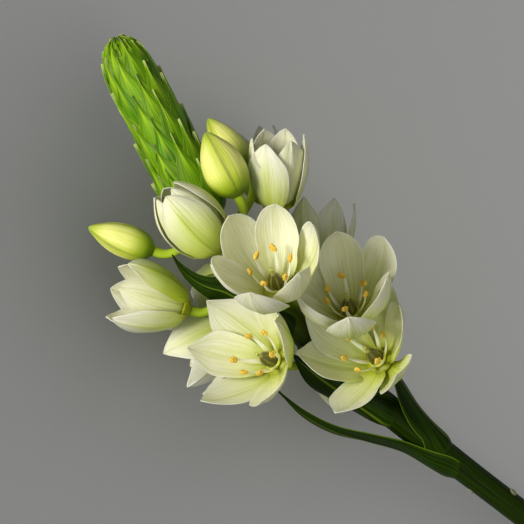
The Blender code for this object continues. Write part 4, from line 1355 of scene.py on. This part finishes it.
piece = show("stem_and_stalks", stem_of(), [stem_skin], "stem")
print(piece.name, len(piece.data.polygons))

# %% [markdown]
# ## Leaves on the stem
#
# Below each flower sits a bract, a narrow leaf that hugs the stem at its base and then bends away
# to a point. A strip is laid along the stem with the lift, the width and the side of the stem read
# along it; across, it is rolled to the stem's own roundness and opens out towards the tip. The
# foot dips under the stem's skin in a V, so that the leaf seems to grow out of it.

# %% Bracts
# Bract: the side of the stem in degrees at foot and tip, (distance along the stem, lift) and width
# in millimetres from foot to tip, and the twist in degrees.
Bract = namedtuple("Bract", "name sides route widths twist")

BRACTS = (
    Bract("bract_long_curved", (96, 68),
          ((93, 0), (85, 0.6), (76, 1.4), (67, 4.8), (58, 8.4), (50, 10.6), (42, 11.4)),
          (7.0, 9.6, 9.8, 8.4, 4.8, 2.6, 0.0), 32),
    Bract("sheath_right", (-66, -56), ((86, 0), (79, 0.2), (72, 1.2), (65, 3.4), (59, 5.4)),
          (9.0, 11.2, 11.2, 8.4, 0.0), 0),
    Bract("bract_mid_left", (50, 40), ((70, 0), (62, 0.3), (54, 1.1), (46, 2.9), (38, 4.5)),
          (8.0, 11.0, 11.0, 8.0, 0.0), 30),
    Bract("bract_middle", (35, 35), ((49, 0), (45, 0), (41.5, 0.6), (39.5, 1.2), (38, 2.0)),
          (5.5, 6.0, 5.0, 3.0, 0.0), 0),
    Bract("bract_upper_left", (58, 53), ((36, 0), (31, 0.5), (26, 2.2), (19, 5.3), (11, 8.4), (3, 10.7)),
          (5.0, 7.4, 9.2, 9.6, 7.4, 0.0), 40),
    Bract("bract_under", (178, 176), ((77, 0), (71, 0), (65, 0.8), (61, 2.0), (58, 3.2)),
          (6.0, 6.6, 5.6, 3.6, 0.0), 0),
)
BRACT_THICKNESS = 0.5 * MM
BRACT_EDGE = 0.4
BRACT_SOLID_THICKNESS = 0.7 * MM
BRACT_STEPS = 44
BRACT_COLUMNS = 16
BRACT_FLATTENS = 1.4
BRACT_KEEL = 0.35 * MM
BRACT_KEEL_WIDTH = 0.14
BRACT_KEEL_FROM = 0.1
BRACT_KEEL_FULL = 0.4
BRACT_TIP_WIDTH = 0.25
FOOT_WRAP = 1.1
FOOT_LENGTH = 0.34
FOOT_NOSE = 0.3
FOOT_SINK = 1.15 * MM


def bract_grid(bract, stem):
    """Rows of a bract that hugs the stem at its base and then leaves it."""
    route = [Vector(pair) for pair in bract.route]
    places = []
    for step in range(BRACT_STEPS + 1):
        f = step / BRACT_STEPS
        distance, lift = through(route, f)
        lift = max(lift, 0.0) * MM
        along = stem.direction(distance * MM)
        across = along.cross(UP).normalized()
        over = across.cross(along)
        side = math.radians(bract.sides[0] + (bract.sides[1] - bract.sides[0]) * f)
        out = turned(over, across, side)
        skin = read_table(STEM_RADIUS, distance) * MM + FIT_GAP + BRACT_SOLID_THICKNESS / 2
        foot = 1.0 - soft_step(0.0, FOOT_LENGTH, f)
        wide = max(through(bract.widths, f), BRACT_TIP_WIDTH) * MM / 2 * (1.0 + FOOT_WRAP * foot)
        point = stem.at(distance * MM) + out * (skin + lift)
        places.append((point, out, skin + lift * BRACT_FLATTENS, wide, math.radians(bract.twist) * f))
    grid = []
    for step, (point, out, hug, wide, twist) in enumerate(places):
        f = step / BRACT_STEPS
        along = (places[min(step + 1, BRACT_STEPS)][0] - places[max(step - 1, 0)][0]).normalized()
        out = (out - along * out.dot(along)).normalized()
        out = Matrix.Rotation(twist, 3, along) @ out
        side = along.cross(out)
        row = []
        for j in range(BRACT_COLUMNS + 1):
            u = 2 * j / BRACT_COLUMNS - 1
            bend = wide / hug * u
            shift = side * math.sin(bend) - out * (1 - math.cos(bend))
            tilt = turned(out, side, bend)
            keel = BRACT_KEEL * bulge(u, BRACT_KEEL_WIDTH) * soft_step(BRACT_KEEL_FROM, BRACT_KEEL_FULL, f)
            nose = FOOT_LENGTH * (FOOT_NOSE + (1.0 - FOOT_NOSE) * abs(u))
            sink = FOOT_SINK * (1.0 - soft_step(0.0, nose, f))
            row.append((point + shift * hug + tilt * (keel - sink), tilt, f, u))
        grid.append(row)
    return grid


stem = stem_line()
for bract in BRACTS:
    shape = Shape()
    tone = random.Random(bract.name).random()
    add_sheet(shape, bract_grid(bract, stem), BRACT_THICKNESS, BRACT_EDGE, tone=tone)
    piece = show(bract.name + "_leaf", shape, [leaf_skin], bract.name)
    print(piece.name, len(piece.data.polygons))
